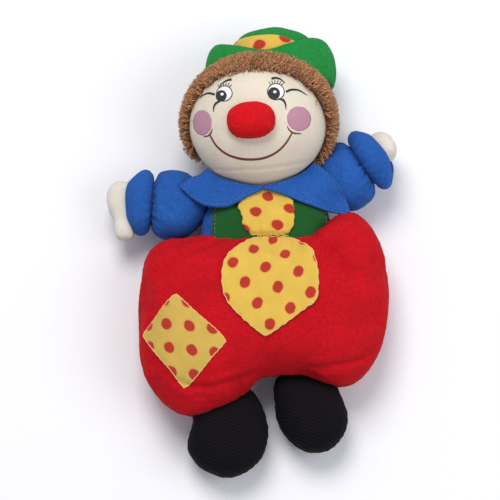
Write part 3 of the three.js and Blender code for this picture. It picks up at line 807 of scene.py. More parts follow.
def developed(rings, middle):
    """Places in the flat cloth: each ray from the middle keeps its length along the curved surface."""
    inward = np.concatenate([rings, np.broadcast_to(middle, (1, *rings.shape[1:]))])
    steps = np.linalg.norm(np.diff(inward, axis=0), axis=2)
    reach = np.cumsum(steps[::-1], axis=0)[::-1]
    flat = middle[:2] + unit_of(rings[..., :2] - middle[:2]) * reach[..., None]
    return joined(flat[..., 0], flat[..., 1], 0).reshape(-1, 3)


def cutout(name, loop, centre, heights, thick, stitch, depth=0.35, inner=12):
    """A double cloth cut to an outline, with a rounded edge and a sunk line of topstitching.

    Gives the piece and the line, which is stitch millimetres inside the edge.
    """
    centre = np.array(centre, float)
    rings = inset_rings(loop, centre, inner)
    z = heights(rings)
    edge = len(EDGE_STEPS)
    inset = np.array([*EDGE_STEPS, *[99] * (len(rings) - edge)])
    rounded = np.sqrt(1 - (1 - np.clip(inset / 1.5, 0, 1)) ** 2)
    body = thick * (0.3 + 0.7 * rounded) - depth * bell(inset - stitch, 0.55)
    middle = np.array([*centre, z[-1].mean()])
    top = np.dstack([rings, z + body[:, None]])
    under = np.dstack([rings, z + thick * 0.12 * (1 - rounded)[:, None]])
    points = np.vstack([top.reshape(-1, 3), middle + (0, 0, body[-1]), under.reshape(-1, 3), middle])
    piece = make(name, points, double_faces(*rings.shape[:2]))
    pattern = np.vstack([developed(np.dstack([rings, z]), middle), middle * (1, 1, 0)])
    keep_rest(piece, np.vstack([pattern, pattern]))
    level = [np.interp(stitch, EDGE_STEPS, column) for column in top[:edge, :, 2].T]
    return piece, np.column_stack([loop + unit_of(centre - loop) * stitch, level])


def stitches(name, line, keep, long=2.3, gap=0.9, radius=0.26, lift=0.12):
    """Separate stitches of thread along a closed line, each a short bead that dips at its ends."""
    line = np.vstack([line, line[:1]])
    along = lengths_along(line)
    parts = []
    at = 0.0
    while at + long < along[-1]:
        s = np.linspace(at, at + long, 5)
        bead = np.stack([np.interp(s, along, column) for column in line.T], axis=1)
        bead[:, 2] += lift - np.array([0.35, 0.06, 0, 0.06, 0.35])
        if keep(bead[2]):
            parts.append(tube(bead, radius * np.array([0.55, 0.95, 1, 0.95, 0.55]), 6))
        at += long + gap
    return gathered_parts(name, parts)


def edging(name, line):
    """A close zigzag of thread bound over a cut edge."""
    ahead = np.roll(line, -1, axis=0) - line
    across = unit_of(joined(-ahead[:, 1], ahead[:, 0]))
    path = line + (0, 0, 0.05)
    path[:, :2] += across * 0.18 * np.where(np.arange(len(line)) % 2, 1, -1)[:, None]
    return dress(cord(name, path, 0.32, 6), "edge_thread")


def uneven_cut(loop, amount, across, up):
    """An outline cut slightly unevenly."""
    index = np.arange(len(loop))
    return loop + amount * joined(np.sin(index * across), np.cos(index * up))


# ---------------------------------------------------------------- camera, light and floor
def aim(thing, place, direction):
    thing.location = place
    thing.rotation_mode = "QUATERNION"
    thing.rotation_quaternion = direction.to_track_quat("-Z", "Y")


def look_from_feet():
    target, distance, rise = Vector((-7.8, 39.9, 40)) * MM, 1.8, math.radians(78)
    seen_half_width = 0.1625
    camera = add_object("camera", bpy.data.cameras.new("camera"))
    bpy.context.scene.camera = camera
    back = Vector((0, -math.cos(rise), math.sin(rise)))
    aim(camera, target + back * distance, -back)
    camera.data.sensor_width = 36
    camera.data.lens = camera.data.sensor_width / 2 * distance / seen_half_width
    camera.data.clip_start = 0.05


def soft_light(name, place, size, power, colour):
    light = bpy.data.lights.new(name, "AREA")
    light.shape, light.size, light.energy, light.color = "DISK", size, power, colour
    aim(add_object(name, light), place, Vector((0, 0.04, 0.03)) - Vector(place))


def studio():
    world = bpy.data.worlds.new("studio")
    bpy.context.scene.world = world
    world.use_nodes = True
    background = world.node_tree.nodes["Background"].inputs
    background["Color"].default_value = (0.90, 0.92, 1.0, 1)
    background["Strength"].default_value = 0.56
    soft_light("key", (-0.25, 0.75, 1.5), 0.9, 18.6, (1, 0.985, 0.96))
    soft_light("fill", (1.05, -0.25, 1.2), 1.2, 8.6, (0.96, 0.97, 1))
    bpy.context.scene.view_settings.view_transform = "Standard"
    wide, level = 1500, -0.2
    corners = [(-wide, -wide, level), (wide, -wide, level), (wide, wide, level), (-wide, wide, level)]
    floor = make("floor", corners, [(0, 1, 2, 3)], outward=False)
    look = Look("floor")
    grain = look.noise(look.node("TexCoord").outputs["Object"], 900, 3)
    look.surface(Base_Color=look.patchy(grain, (0.80, 0.80, 0.82), (0.84, 0.84, 0.86)), Roughness=0.95)
    floor.data.materials.append(MATERIALS["floor"])


# ---------------------------------------------------------------- trousers
def tunnel_rings(grow, y0, y1, steps, wave=0.0):
    """Rings of the rounded hand tunnel along Y."""
    angle = turns(72)
    x = (HAND_SPACE["width"] / 2 + grow) * np.sign(np.cos(angle)) * np.abs(np.cos(angle)) ** 0.55
    z = (HAND_SPACE["height"] / 2 + grow) * np.sign(np.sin(angle)) * np.abs(np.sin(angle)) ** 0.75
    rings = []
    for y in np.linspace(y0, y1, steps):
        ripple = 1 + wave * np.sin(6 * angle + y * 0.15)
        rings.append(joined(x * ripple, y, HAND_SPACE_MIDDLE + z * ripple))
    return np.array(rings)


def build_trousers():
    piece = puff("trousers", TROUSERS_OUTLINE, TROUSERS_CENTRE, TROUSERS, grow=-1.5)
    mid = TROUSERS["mid"]
    reach = reach_of(TROUSERS_OUTLINE, TROUSERS_CENTRE)

    def at_seam(points):
        x, y = (points[:, :2] - TROUSERS_CENTRE).T
        return (np.abs(points[:, 2] - mid) < 3) & (np.hypot(x, y) > reach(np.arctan2(y, x)) - 8)

    inflate(piece, at_seam, voxel=4, pressure=3.0, cap=5, slack=0.035, stiff=10, bend=0.25)
    seam(piece, lambda p: p[:, 2] - mid, depth=1.1, width=1.5, pucker=0.12)
    for line, depth, width in TROUSERS_CREASES:
        crease(piece, line, depth, width)
    boolean(piece, "DIFFERENCE", loft("hand_tunnel", tunnel_rings(1.6, -120, 26, 3)))
    dress(piece, "red_velour", "red_velour", "body", "trousers_front", "trousers_back", "trousers_stuffing")
    return piece


def mouth_of(xs):
    """How far down the tunnel's mouth is at each place across, inside the trousers' edge."""
    reach = reach_of(TROUSERS_OUTLINE, TROUSERS_CENTRE)
    ys = np.linspace(-20, -75, 181)
    inside = [[np.hypot(x - 1, y) < reach(math.atan2(y, x - 1)) - MOUTH_INSET for y in ys] for x in xs]
    edge = np.array([ys[np.flatnonzero(row).max()] for row in inside])
    for _ in range(6):
        edge = (np.roll(edge, 1) + edge * 2 + np.roll(edge, -1)) / 4
    return edge


def build_lining():
    """The hand's tunnel: an open tube of cloth, with its mouth's hem turned over inside the crotch."""
    inner_end = 25

    def fitted(grow):
        rings = tunnel_rings(grow, 0, 1, 40, wave=0.04)
        share = rings[:, :, 1]
        start = mouth_of(rings[0, :, 0])
        rings[:, :, 1] = start + (inner_end - start) * share
        narrow = 1 - 0.8 * np.clip((share - 0.9) / 0.1, 0, 1) ** 2
        rings[:, :, 0] *= narrow
        rings[:, :, 2] = HAND_SPACE_MIDDLE + (rings[:, :, 2] - HAND_SPACE_MIDDLE) * narrow
        return rings

    lining = closed_band("hand_lining", np.vstack([fitted(1.2), fitted(0.2)[::-1]]))
    dress(lining, "lining_cotton", "lining_cotton", "body", "hand_lining")
    hem = cord("hem_band", fitted(0.4)[0] - (0, 0.6, 0), 1.7, 12)
    dress(hem, "red_velour", "red_velour", "body", "hem_band")


# ---------------------------------------------------------------- shirt, bib and patch
def build_shirt():
    piece = puff("shirt", TORSO_OUTLINE, TORSO_CENTRE, TORSO, grow=-1.2)
    inflate(piece, lambda p: p[:, 1] < 34, voxel=4, pressure=2.5, cap=4, slack=0.03)
    crease(piece, [(-34, 34), (-35, 46), (-36, 58)], 1.6, 2.4)
    crease(piece, [(38, 36), (40, 48), (40, 60)], 1.4, 2.4)
    dress(piece, "blue_jersey", "blue_jersey", "body", "shirt_front", "shirt_back")
    return piece


def build_bib(ground):
    def heights(rings):
        return settle(ground.top(rings, 30), 0.25, 8)

    loop = cornered_loop(BIB_OUTLINE, 150, 0.05)
    piece, line = cutout("bib", loop, (3, 56), heights, thick=1.5, stitch=1.9)
    dress(piece, "bib_cotton", "bib_cotton", "body", "bib")
    dress(stitches("bib_stitching", line, keep=lambda p: p[1] > 46), "green_stitch", None, "body")
    return piece


def build_patch(ground):
    loop = cornered_loop(PATCH_OUTLINE, 200, 0.06)
    centre = (-51, -22)
    rough = 1 + 0.006 * np.sin(np.arange(len(loop)) * 1.3)
    drawn_in = 1 - 0.02 * np.cos(4 * np.linspace(0, FULL, len(loop)))
    loop = centre + (loop - centre) * (rough * drawn_in)[:, None]
    piece, line = cutout("trouser_patch", loop, centre, lambda rings: ground.top(rings, 30) + 0.05,
                         thick=1.0, stitch=0.4, depth=0.05, inner=18)
    dress(piece, "patch_cotton", "dotted_cotton", "body", "trouser_patch")
    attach(edging("patch_edging", line), "body")


# ---------------------------------------------------------------- tie
def tie_heights(ground, rings, lift, rounds, low, folds, reach):
    """Cloth lying on what is under it, folded towards the gathering thread."""
    x, y = rings[..., 0], rings[..., 1]
    ripple = np.sin(x * 0.95 + 0.6) + 0.5 * np.sin(x * 1.9 + 1.2)
    folded = folds * np.exp(-np.abs(y - TIE_GATHER) / reach) * (ripple + 0.4)
    drawn_in = (1.6 + 0.5 * ripple) * np.exp(-((y - TIE_GATHER) ** 2) / 3)
    return settle(np.maximum(ground.top(rings, low), low), lift, rounds) + folded - drawn_in


def build_tie(ground):
    def knot_heights(rings):
        bulge = 2.6 * bell(rings[..., 0] - 3, 13) * bell(rings[..., 1] - 60, 11)
        return tie_heights(ground, rings, 0.5, 50, 47, 0.7, 5) + bulge

    def blade_heights(rings):
        return tie_heights(ground, rings, 0.6, 30, 30, 0.8, 7)

    loop = uneven_cut(smooth_loop(KNOT_OUTLINE, 150), 0.25, 0.9, 1.2)
    knot, _ = cutout("tie_knot", loop, (3.5, 60), knot_heights, thick=1.9, stitch=1.4, depth=0.25, inner=14)
    dress(knot, "knot_cotton", "dotted_cotton", "body", "tie_knot")

    centre = np.array(BLADE_CENTRE)
    loop = uneven_cut(centre + (smooth_loop(BLADE_OUTLINE, 220) - centre) * 0.978, 0.22, 0.8, 1.1)
    blade, edge = cutout("tie_blade", loop, centre, blade_heights, thick=1.6, stitch=0.5, depth=0.1, inner=20)
    dress(blade, "tie_cotton", "dotted_cotton", None, "tie_blade")
    for item in (blade, edging("tie_edging", edge)):
        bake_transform(item)

    xs = np.linspace(-6.5, 17, 120)
    ys = TIE_GATHER + 0.4 * np.sin(xs * 1.1) + 0.2 * np.sin(xs * 2.9)
    zs = ground.top(joined(xs, TIE_GATHER), 40) + 1.7 + 0.3 * np.sin(xs * 1.7 + 1)
    thread = cord("tie_gather_thread", joined(xs, ys, zs), 0.45, 6, closed=False)
    dress(thread, "yellow_thread", "yellow_thread", "body", "tie_gather_thread")
    return knot


# ---------------------------------------------------------------- arms
def turned_rings(profile, columns=72, wave=None):
    """Rings about the arm's own axis from [distance out, radius] points."""
    angle = turns(columns)
    rings = []
    for x, r in profile:
        if wave is not None:
            x, r = wave(angle, x, r)
        rings.append(joined(x, r * np.cos(angle), r * np.sin(angle) * ARM_FLAT))
    return np.array(rings)


def frill(angle, out, radius):
    """The cuff's folds: fine where it is gathered, broad where it flares."""
    flare = np.clip((out - CUFF_START) / 12, 0, 1)
    folds = np.sin(4 * angle + 0.7) + 0.5 * np.sin(7 * angle + 2.2)
    small = np.sin(22 * angle + 0.4 + 1.2 * np.sin(3 * angle)) * np.clip(1 - (out - CUFF_START) / 6, 0, 1)
    bowed = flare * (4.6 * np.abs(np.sin(angle)) - 2.6)
    bowed += 0.4 * flare * np.sin(3 * angle + 1.5)
    return out + bowed, radius * (1 + 0.012 * folds * flare) + 0.55 * small


def mitten(name, arm, matrix):
    """A stuffed hand with a short thumb, gathered at the wrist."""

    def sized(points):
        return [(x - arm["short"] * max(x - CUFF_END, 0), y * arm["slim"]) for x, y in points]

    palm_form = dict(low=19.6, mid=MITTEN_LEVEL, high=40.4, edge=0.7, crown=0.8)
    thumb_form = dict(low=22.5, mid=MITTEN_LEVEL, high=37.5, edge=0.75, crown=0.8)
    hand = puff(name, sized(MITTEN_PALM), (46, 0), palm_form, columns=56, rows=28)
    thumb = puff("thumb", sized(MITTEN_THUMB), sized([(52, 15)])[0], thumb_form, columns=48, rows=20)
    boolean(hand, "UNION", thumb)
    remesh(hand, 1.7)
    modify(hand, "SMOOTH", factor=0.5, iterations=8)
    placed = matrix @ Matrix.Translation(arm["shift"]) @ turned(arm["turn"], "X")
    placed = placed @ Matrix.Translation((0, 0, -MITTEN_LEVEL))
    set_co(hand, moved(co_of(hand), placed))
    inverse = placed.inverted()
    seam(hand, lambda p: moved(p, inverse)[:, 2] - MITTEN_LEVEL, depth=0.55, width=0.9, pucker=0.12)
    unevenness(hand, 0.7, 9, 3.0)
    set_co(hand, above_floor(co_of(hand)))
    return hand


def build_arm(name):
    arm = ARMS[name]
    matrix = Matrix.Translation(arm["place"]) @ turned(arm["angle"], "Z") @ turned(-arm["pitch"], "Y")
    inverse = matrix.inverted()

    def along(distance):
        return metres(matrix @ Vector((distance, 0, 0)))

    def held(points):
        out = moved(points, inverse)[:, 0]
        return (out < 0) | (out > 28.5)

    def puckers(points):
        local = moved(points, inverse)
        turn = np.arctan2(local[:, 2], local[:, 1])
        near = np.clip((local[:, 0] - 18) / 12, 0, 1) ** 1.8
        ripple = np.sin(22 * turn + 1.0 + 1.2 * np.sin(3 * turn)) + 0.5 * np.sin(13 * turn + 2.0)
        return 0.7 * near * ripple

    rings = turned_rings([(u, r - 0.8) for u, r in smooth_profile(SLEEVE, 26)])
    sleeve = loft(f"sleeve_{name}", moved(rings, matrix))
    inflate(sleeve, held, voxel=3.2, pressure=3.5, cap=3.5, slack=0.07, stiff=8, bend=0.15)
    swell(sleeve, puckers)
    set_co(sleeve, above_floor(co_of(sleeve)))
    dress(sleeve, "blue_jersey", "blue_jersey", None, f"sleeve_{name}")
    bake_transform(sleeve)

    rings = moved(turned_rings(closed_profile(CUFF, 60), 132, frill), matrix)
    cuff = closed_band(f"cuff_{name}", above_floor(rings))
    dress(cuff, "blue_jersey", "blue_jersey", None, f"cuff_{name}")
    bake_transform(cuff)

    hand = mitten(f"hand_{name}", arm, matrix)
    dress(hand, "hand_fleece", "hand_fleece", f"wrist_{name}", f"hand_{name}", f"hand_stuffing_{name}")

    gathers = ("wrist_gather", (31.2, 13.6), "arm"), ("armhole_gather", (0, 10.8), "shoulder")
    for part, place, body in gathers:
        wavy = turned_rings([place], wave=lambda angle, x, r: (x, r + 0.35 * np.sin(18 * angle)))
        thread = cord(f"{part}_{name}", moved(wavy[0], matrix), 0.7, 8)
        dress(thread, "blue_thread", "blue_thread", f"{body}_{name}", f"{part}_{name}")
    return sleeve


# ---------------------------------------------------------------- collar
def build_collar(ground, head):
    head_inverse = head.inverted()
    room = HEAD_RADII + 1.2

    def under_chin(loop):
        """Keeps an outline clear of the head at the collar's level."""
        kept = loop.copy()
        for point in kept:
            for _ in range(160):
                if np.linalg.norm(moved([(*point, 51)], head_inverse)[0] / room) >= 1:
                    break
                point[1] -= 0.25
        return kept

    def heights(rings):
        stand = 50 - 0.33 * np.maximum(np.abs(rings[..., 0]) - 16, 0)
        ripple = 0.7 + 0.7 * np.sin(rings[..., 0] * 0.2 - rings[..., 1] * 0.16)
        return settle(np.maximum(ground.top(rings, 34), stand), 0.7, 90) + ripple

    for name, flap in FLAPS.items():
        loop = resample(under_chin(cornered_loop(flap["outline"], 260, 0.12)), 190)
        piece, line = cutout(f"collar_{name}", loop, flap["centre"], heights,
                             thick=2.2, stitch=2.2, depth=0.55, inner=16)
        dress(piece, "blue_jersey", "blue_jersey", None, f"collar_{name}")
        thread = stitches(f"collar_stitching_{name}", line, keep=lambda p: p[1] < 84 or abs(p[0]) > 34)
        for item in (piece, dress(thread, "blue_stitch")):
            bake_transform(item)


# ---------------------------------------------------------------- shoes
def build_shoe(name):
    outline, centre = SHOE_OUTLINES[name], SHOE_CENTRES[name]
    piece = puff(f"shoe_{name}", outline, centre, SHOES, grow=-1.2, columns=80, rows=34)
    inflate(piece, lambda p: p[:, 1] > -58, voxel=3.5, pressure=3.0, cap=3, slack=0.03)
    seam(piece, lambda p: p[:, 2] - SHOES["mid"], depth=1.2, width=1.4, pucker=0.25)
    dress(piece, "black_velour", "black_velour", None,
          f"shoe_upper_{name}", f"shoe_sole_{name}", f"shoe_stuffing_{name}")
    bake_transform(piece)


# ---------------------------------------------------------------- head
def above_chin_seam(y, z):
    """How far above the seam under the chin a place on the head is, in its own axes."""
    return y - CHIN_AT - CHIN_SLOPE * z


def build_head(matrix):
    piece = ball("head", HEAD_RADII, 128, 84)
    points = co_of(piece)
    x, y, z = points.T
    cheeks = sum(bell(x - s * 30, 13) * bell(y + 9, 12) for s in (-1, 1))
    mouth = bell(np.hypot(x, (y - 6) * 1.1) - 29, 2.6) * (y < -9)
    socket = bell(np.hypot(x / 1.3, y - NOSE[1]) - 12.5, 2.2)
    lift = np.clip(z / 30, 0, 1) * (0.9 * cheeks - 0.45 * mouth - 0.6 * socket)
    lift -= 0.6 * bell(above_chin_seam(y, z), 0.9) * (z > 0)
    points += unit_of(points / HEAD_RADII**2) * lift[:, None]
    set_co(piece, moved(points, matrix))
    unevenness(piece, 0.5, 16, 8.0)
    dress(piece, "face_fleece", "face_fleece", "head",
          "face", "chin", "head_back", "head_stuffing", "head_finger_sleeve")
    piece.data.materials.append(MATERIALS["chin_fleece"])
    inverse = matrix.inverted()
    for face in piece.data.polygons:
        middle = inverse @ (face.center / MM)
        face.material_index = int(above_chin_seam(middle.y, middle.z) < 0)
    return piece


def build_nose(matrix):
    piece = ball("nose", 1, 80, 50)
    unit = co_of(piece)
    boxy = 2.35
    unit /= (np.abs(unit) ** boxy).sum(axis=1, keepdims=True) ** (1 / boxy)
    set_co(piece, moved(unit * NOSE_RADII + NOSE, matrix))
    unevenness(piece, 0.4, 6, 5.0)

    def puckers(points):
        local = moved(points, matrix.inverted()) - NOSE
        return 0.22 * bell(local[:, 2] + 2, 3.0) * np.sin(26 * np.arctan2(local[:, 1], local[:, 0]))

    swell(piece, puckers)
    dress(piece, "nose_fleece", "nose_fleece", "head", "nose_cover", "nose_stuffing")


class FacePrint:
    """Draws flat shapes on the head. Places are millimetres across and up the face, as it is looked at."""

    LOOK = Vector((0, 0.208, -0.978))
    LEVEL, START = 40, 110
    THICK = 0.14

    def __init__(self, head):
        self.surface = surface_of(head)

    def on_face(self, places, lift):
        out = []
        for x, up in places:
            y = (up + self.LOOK.y * (self.LEVEL - self.START)) / -self.LOOK.z
            hit, normal, _, _ = self.surface.ray_cast(Vector((x, y, self.START)), self.LOOK)
            out.append(hit + normal * lift)
        return np.array(out)

    def blob(self, name, centre, radii, lift, material, turn=0.0, rough=0.0):
        """A filled oval with a thin rim."""
        columns, rings = 48, 9
        angle = turns(columns)
        wobble = 1 + rough * (np.sin(7 * angle) + np.sin(11 * angle + 1) + np.sin(17 * angle + 2))
        a, b = radii[0] * np.cos(angle) * wobble, radii[1] * np.sin(angle) * wobble
        c, s = math.cos(turn), math.sin(turn)
        oval = joined(c * a - s * b, s * a + c * b)
        flat = [centre + oval * share for share in np.linspace(1, 1 / rings, rings)]
        places = np.vstack([*flat, flat[-1].mean(0)])
        points = np.vstack([self.on_face(places, lift), self.on_face(places, lift - self.THICK)])
        dress(make(name, points, double_faces(rings, columns)), material, None, "head")

    def strokes(self, name, lines, lift, material):
        """Curved strokes, each given as its points and its widths along the way."""
        parts = []
        for points, widths in lines:
            line = smooth_profile(points, 26) if len(points) > 2 else np.linspace(points[0], points[1], 8)
            width = np.interp(np.linspace(0, 1, len(line)), np.linspace(0, 1, len(widths)), widths)
            ahead = np.gradient(line, axis=0)
            side = unit_of(joined(-ahead[:, 1], ahead[:, 0])) * width[:, None] / 2
            across = np.array([line + side * s for s in (1, 0.5, 0, -0.5, -1)])
            top = [self.on_face(row, lift) for row in across]
            low = [self.on_face(row, lift - self.THICK) for row in across[::-1]]
            rings = np.array(top + low).transpose(1, 0, 2)
            count, columns = rings.shape[:2]
            end = (count - 1) * columns
            caps = [(c, c + 1, columns - 2 - c, columns - 1 - c) for c in range(columns // 2 - 1)]
            caps += [tuple(end + i for i in reversed(cap)) for cap in caps]
            parts.append((rings.reshape(-1, 3), grid_faces(count, columns) + caps))
        dress(gathered_parts(name, parts), material, None, "head")


def build_face_print(head):
    face = FacePrint(head)
    eyes = {
        "left": dict(white=(-24.3, 139.6, 5.0), pupil=(-26.2, 138.1, 3.55), lash_radius=5.3),
        "right": dict(white=(8.8, 140.5, 5.3), pupil=(7.5, 139.3, 3.9), lash_radius=5.7),
    }
    lines = [
        ([(-28, 143.6), (-26.2, 145.8), (-23.2, 148), (-19.6, 148.9)], (0.3, 0.6, 1.1, 1.5)),
        ([(-40.5, 137.4), (-38.1, 139.2), (-35, 140.3), (-30.4, 139.2)], (0.3, 0.8, 1.3, 1.4)),
        ([(-27.3, 134.7), (-29.9, 133), (-31, 130.7), (-31.1, 127.8)], (1.3, 1.4, 0.9, 0.3)),
        ([(6, 149.1), (8.4, 149.7), (11.5, 149), (14.7, 146.4)], (1.5, 1.3, 0.8, 0.3)),
        ([(15.2, 140.5), (18.4, 141.9), (22.6, 142), (29, 138.8)], (1.4, 1.3, 0.9, 0.3)),
        ([(10.3, 135.9), (13.4, 135), (14.7, 133), (15.2, 129)], (1.0, 1.5, 1.0, 0.3)),
    ]
    lash_long, lean = 2.3, math.radians(10)
    for side, eye in eyes.items():
        x, y, r = eye["white"]
        face.blob(f"eye_rim_{side}", (x, y), (r + 0.35, r + 0.3), 0.16, "ink_black")
        face.blob(f"eye_white_{side}", (x, y), (r - 0.25, r - 0.3), 0.22, "ink_white")
        for a in np.radians(52 + 15 * np.arange(6)):
            root = (x, y) + eye["lash_radius"] * joined(math.cos(a), math.sin(a))
            tip = root + lash_long * joined(math.cos(a - lean), math.sin(a - lean))
            lines.append(([root, tip], (0.5, 0.25)))
        x, y, r = eye["pupil"]
        face.blob(f"eye_ring_{side}", (x, y), (r, r * 1.05), 0.28, "ink_black")
        face.blob(f"eye_light_{side}", (x + 0.55, y + 1.05), (1.05, 0.95), 0.36, "ink_white")
    face.blob("cheek_left", (-38.6, 121.3), (6.2, 8.2), 0.09, "ink_mauve", turn=0.1, rough=0.008)
    face.blob("cheek_right", (23.7, 123.3), (7.8, 7.9), 0.09, "ink_mauve", rough=0.008)
    face.strokes("eye_lines", lines, 0.3, "ink_black")
    arc = [(-33.6, 113.1), (-30, 106.9), (-24, 101.5), (-16, 98.2), (-8.2, 97.2), (1, 98.1), (9, 101.7),
           (15, 107.3), (19.3, 114.4)]
    face.strokes("mouth_line", [
        (arc, (0.9, 1.2, 1.4, 1.4, 1.2, 0.9)),
        ([(-37.6, 112.4), (-34.8, 112.6), (-33, 114.2), (-32, 117)], (0.6, 1.0, 1.0, 0.4)),
        ([(16, 118.4), (17.2, 116.1), (19.6, 114.3), (25, 113.8)], (0.5, 1.0, 1.0, 0.5)),
    ], 0.2, "ink_brown")


# ---------------------------------------------------------------- hair
def hidden_by_hat(points, hat):
    """True where a root on the head lies under the crown, or well inside the brim."""
    x, y, z = moved(points, hat.inverted()).T
    across = np.hypot(x, z / 0.8)
    return ((y > -1) & (across < 27)) | ((y > -4) & (across < 22))


def nape_at(x):
    """The hair's lower edge, which is higher on the left side of the head."""
    return NAPE + 13 * np.clip((-x - 6) / 22, 0, 1) + 2 * np.clip((x - 6) / 22, 0, 1)


def build_hair_backing(matrix):
    """A cap of cloth under the pile, tucked into the head past the hair's edges."""
    cap = ball("hair_backing", HAIR_RADII - 3.2, 120, 60)
    local = co_of(cap)
    x, y, z = local.T
    past_edge = np.clip((z - HAIR_FRONT - HAIR_SLOPE * y + 3) / 3, 0, 1)
    past_nape = np.clip((nape_at(x) + 3 - y) / 3, 0, 1)
    share = np.maximum(past_edge, past_nape)[:, None]
    tucked = local / np.linalg.norm(local / (HEAD_RADII - 2.8), axis=1, keepdims=True)
    set_co(cap, moved(local * (1 - share) + tucked * share, matrix))
    dress(cap, "fur_backing", "fur_plush", "head", "hair")


def build_hair(matrix, hat):
    """Curly strands of pile, in tufts, all over the backing, with a parting above the face."""
    index = np.arange(HAIR_STRANDS) + 0.5
    polar = np.arccos(1 - 2 * index / HAIR_STRANDS)
    around = math.pi * (1 + 5**0.5) * index
    unit = joined(np.cos(around) * np.sin(polar), np.cos(polar), np.sin(around) * np.sin(polar))
    unit = unit_of(unit + random.normal(0, 0.006, unit.shape))
    root = unit * (HAIR_RADII - 4)
    x, y, z = root.T
    fringe = 3.4 * bell(x - 1, 24) * (y > 0)
    ahead = z - HAIR_FRONT - HAIR_SLOPE * y - fringe
    keep = (ahead < -1.1) & (y > nape_at(x)) & ~hidden_by_hat(root, matrix.inverted() @ hat)
    root, unit, ahead = root[keep], unit[keep], ahead[keep]
    x, y, z = root.T
    count = len(root)

    tuft = 0.7 * np.sin(root[:, [1, 2, 0]] * 1.25 + 1.3 * np.sin(root * 0.6))
    tuft += 0.5 * np.sin(root[:, [2, 0, 1]] * 2.3 + 1)
    parting = bell(x - 2, 1.3) * (y > 0)
    forward = np.exp(np.minimum(ahead, 0) / 5)[:, None] * (0, -0.1, 0.5)
    aside = (np.tanh((x - 2) / 6) * (y > 0))[:, None] * (0.35, 0, 0)
    out = unit_of(unit / HAIR_RADII)
    lean = unit_of(out * 1.25 + tuft * 0.5 + random.normal(0, 0.3, out.shape) + forward + aside)
    curl = unit_of(np.cross(lean, random.normal(0, 1, out.shape)))
    side = np.cross(lean, curl)
    bulk = 2.6 * np.clip((x - 12) / 26, 0, 1) + 1.2 * np.clip((-x - 12) / 26, 0, 1)
    length = (random.uniform(4.8, 7.4, count) + bulk - 2.5 * parting)[:, None]
    thick = random.uniform(0.26, 0.44, count)[:, None]
    # Tone differs at random per strand and per tuft; the darkening along the parting is painted shade.
    tone = np.clip(random.normal(0.45, 0.25, count) + 0.3 * tuft[:, 0] - 0.5 * parting, 0, 1)

    sides = 3
    rings = []
    for along, bow, width in ((0.0, 0.0, 1.1), (0.45, 0.3, 1.0), (0.85, 0.65, 0.8)):
        middle = root + lean * length * along + curl * bow * length * 0.55
        rings += [middle + (curl * math.cos(a) + side * math.sin(a)) * thick * width for a in turns(sides)]
    rings.append(root + lean * length * 0.98 + curl * length * 0.22)
    strands = np.stack(rings, axis=1)
    per = strands.shape[1]
    pattern = grid_faces(3, sides) + [(6 + c, 9, 6 + (c + 1) % sides) for c in range(sides)]
    levels = np.append(np.repeat([0.0, 0.45, 0.85], sides), 1.0)
    for part, chosen in (("front", z >= 0), ("back", z < 0)):
        faces = [tuple(n * per + i for i in face) for n in range(chosen.sum()) for face in pattern]
        pile = make(f"hair_{part}", moved(strands[chosen].reshape(-1, 3), matrix), faces)
        dress(pile, "fur_plush", "fur_plush", "head")
        for key, values in (("tip", np.tile(levels, chosen.sum())), ("tone", np.repeat(tone[chosen], per))):
            kept = pile.data.attributes.new(key, "FLOAT", "POINT")
            kept.data.foreach_set("value", values.astype(np.float32))


# ---------------------------------------------------------------- hat
def hat_rings(profile, flat=CROWN_FLAT, columns=128, aside=CROWN_ASIDE):
    """Rings about the hat's own upright axis, its +Y, from [height, radius] points."""
    angle = turns(columns)
    return np.array([joined(r * np.sin(angle) + aside, y, r * np.cos(angle) * flat) for y, r in profile])


def brim_place(points):
    """Stands the brim up at its two sides, more at the right, and narrows it in front and behind."""
    x, y, z = np.moveaxis(points, -1, 0)
    radius = np.hypot(x, z)
    side = (np.abs(x) / radius) ** 1.5
    right = np.maximum(x / radius, 0)
    up = np.clip((radius - 34) / 3, 0, 1) * np.clip((y + 9) / 13, 0, 1)
    outward = np.clip((radius - 27) / 14, 0, 1)
    raised = up * (-3.8 + 11.8 * side + 2.4 * right + 19 * right**2 * (1 - right))
    lowered = outward * (1 - up) * 4 * right
    inward = 1 - up * 2.2 * side / radius + 0.025 * right
    return joined(x * inward, y + raised - lowered, z * inward * (0.84 - 0.16 * outward))


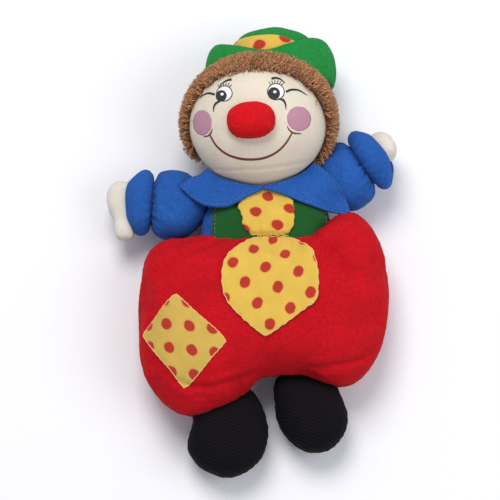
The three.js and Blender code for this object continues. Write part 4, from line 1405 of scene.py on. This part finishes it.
def build_hat(matrix):
    crown = loft("hat_crown", moved(hat_rings(smooth_profile(CROWN, 34)), matrix))
    unevenness(crown, 0.8, 12, 2.0)
    dress(crown, "hat_felt", "hat_felt", "head", "hat_crown", "hat_stuffing")

    placed = brim_place(hat_rings(closed_profile(BRIM, 80), 1, 150, 0))
    brim = closed_band("hat_brim", moved(placed, matrix))
    unevenness(brim, 0.7, 14, 6.0)
    set_co(brim, above_floor(co_of(brim), 0.5))
    dress(brim, "hat_felt", "hat_felt", "head", "hat_brim")

    rings = hat_rings(closed_profile(HAT_BAND, 40))
    angle = turns(rings.shape[1])
    rings[..., 1] *= 1 - 0.3 * np.tanh(3 * np.clip(np.sin(angle), 0, 1) ** 2)
    band = closed_band("hat_band", moved(rings, matrix))
    round_crown = ((angle + math.pi) % FULL - math.pi) * 24
    keep_rest(band, joined(round_crown, rings[..., 1], 0).reshape(-1, 3))
    dress(band, "band_cotton", "dotted_cotton", "head", "hat_band")


# ---------------------------------------------------------------- neck
def build_neck():
    angle = turns(60)

    def ring(y, radius):
        r = radius * (1 + 0.03 * np.sin(12 * angle))
        return joined(NECK.x + r * np.cos(angle), y, NECK.z + r * np.sin(angle))

    ys = np.linspace(74.5, 87.5, 16)
    outer = [ring(y, 9.9 + 0.1 * abs(y - NECK.y)) for y in ys]
    neck = closed_band("neck_tube", np.array(outer + [ring(y, 8.7) for y in ys[::-1]]))
    dress(neck, "face_fleece", "face_fleece", "neck", "neck_tube")
    thread = cord("neck_gather", ring(NECK.y, 12), 0.75, 8)
    dress(thread, "blue_thread", "blue_thread", "neck_seam", "neck_gather")


# ---------------------------------------------------------------- assembly
make_materials()
look_from_feet()
studio()
trousers = build_trousers()
build_lining()
shirt = build_shirt()
bib = build_bib(Ground(shirt))
build_patch(Ground(trousers))
sleeves = [build_arm(name) for name in ARMS]
knot = build_tie(Ground(trousers, shirt, bib))
build_neck()
head_place = Matrix.Translation(HEAD_CENTRE) @ turned(3, "Z") @ turned(-6, "Y")
build_collar(Ground(shirt, bib, knot, *sleeves), head_place)
for side in SHOE_OUTLINES:
    build_shoe(side)
head = build_head(head_place)
build_nose(head_place)
build_face_print(head)
hat_place = head_place @ Matrix.Translation(HAT_PLACE) @ turned(-5, "Z") @ turned(-6, "X")
build_hair_backing(head_place)
build_hair(head_place, hat_place)
build_hat(hat_place)
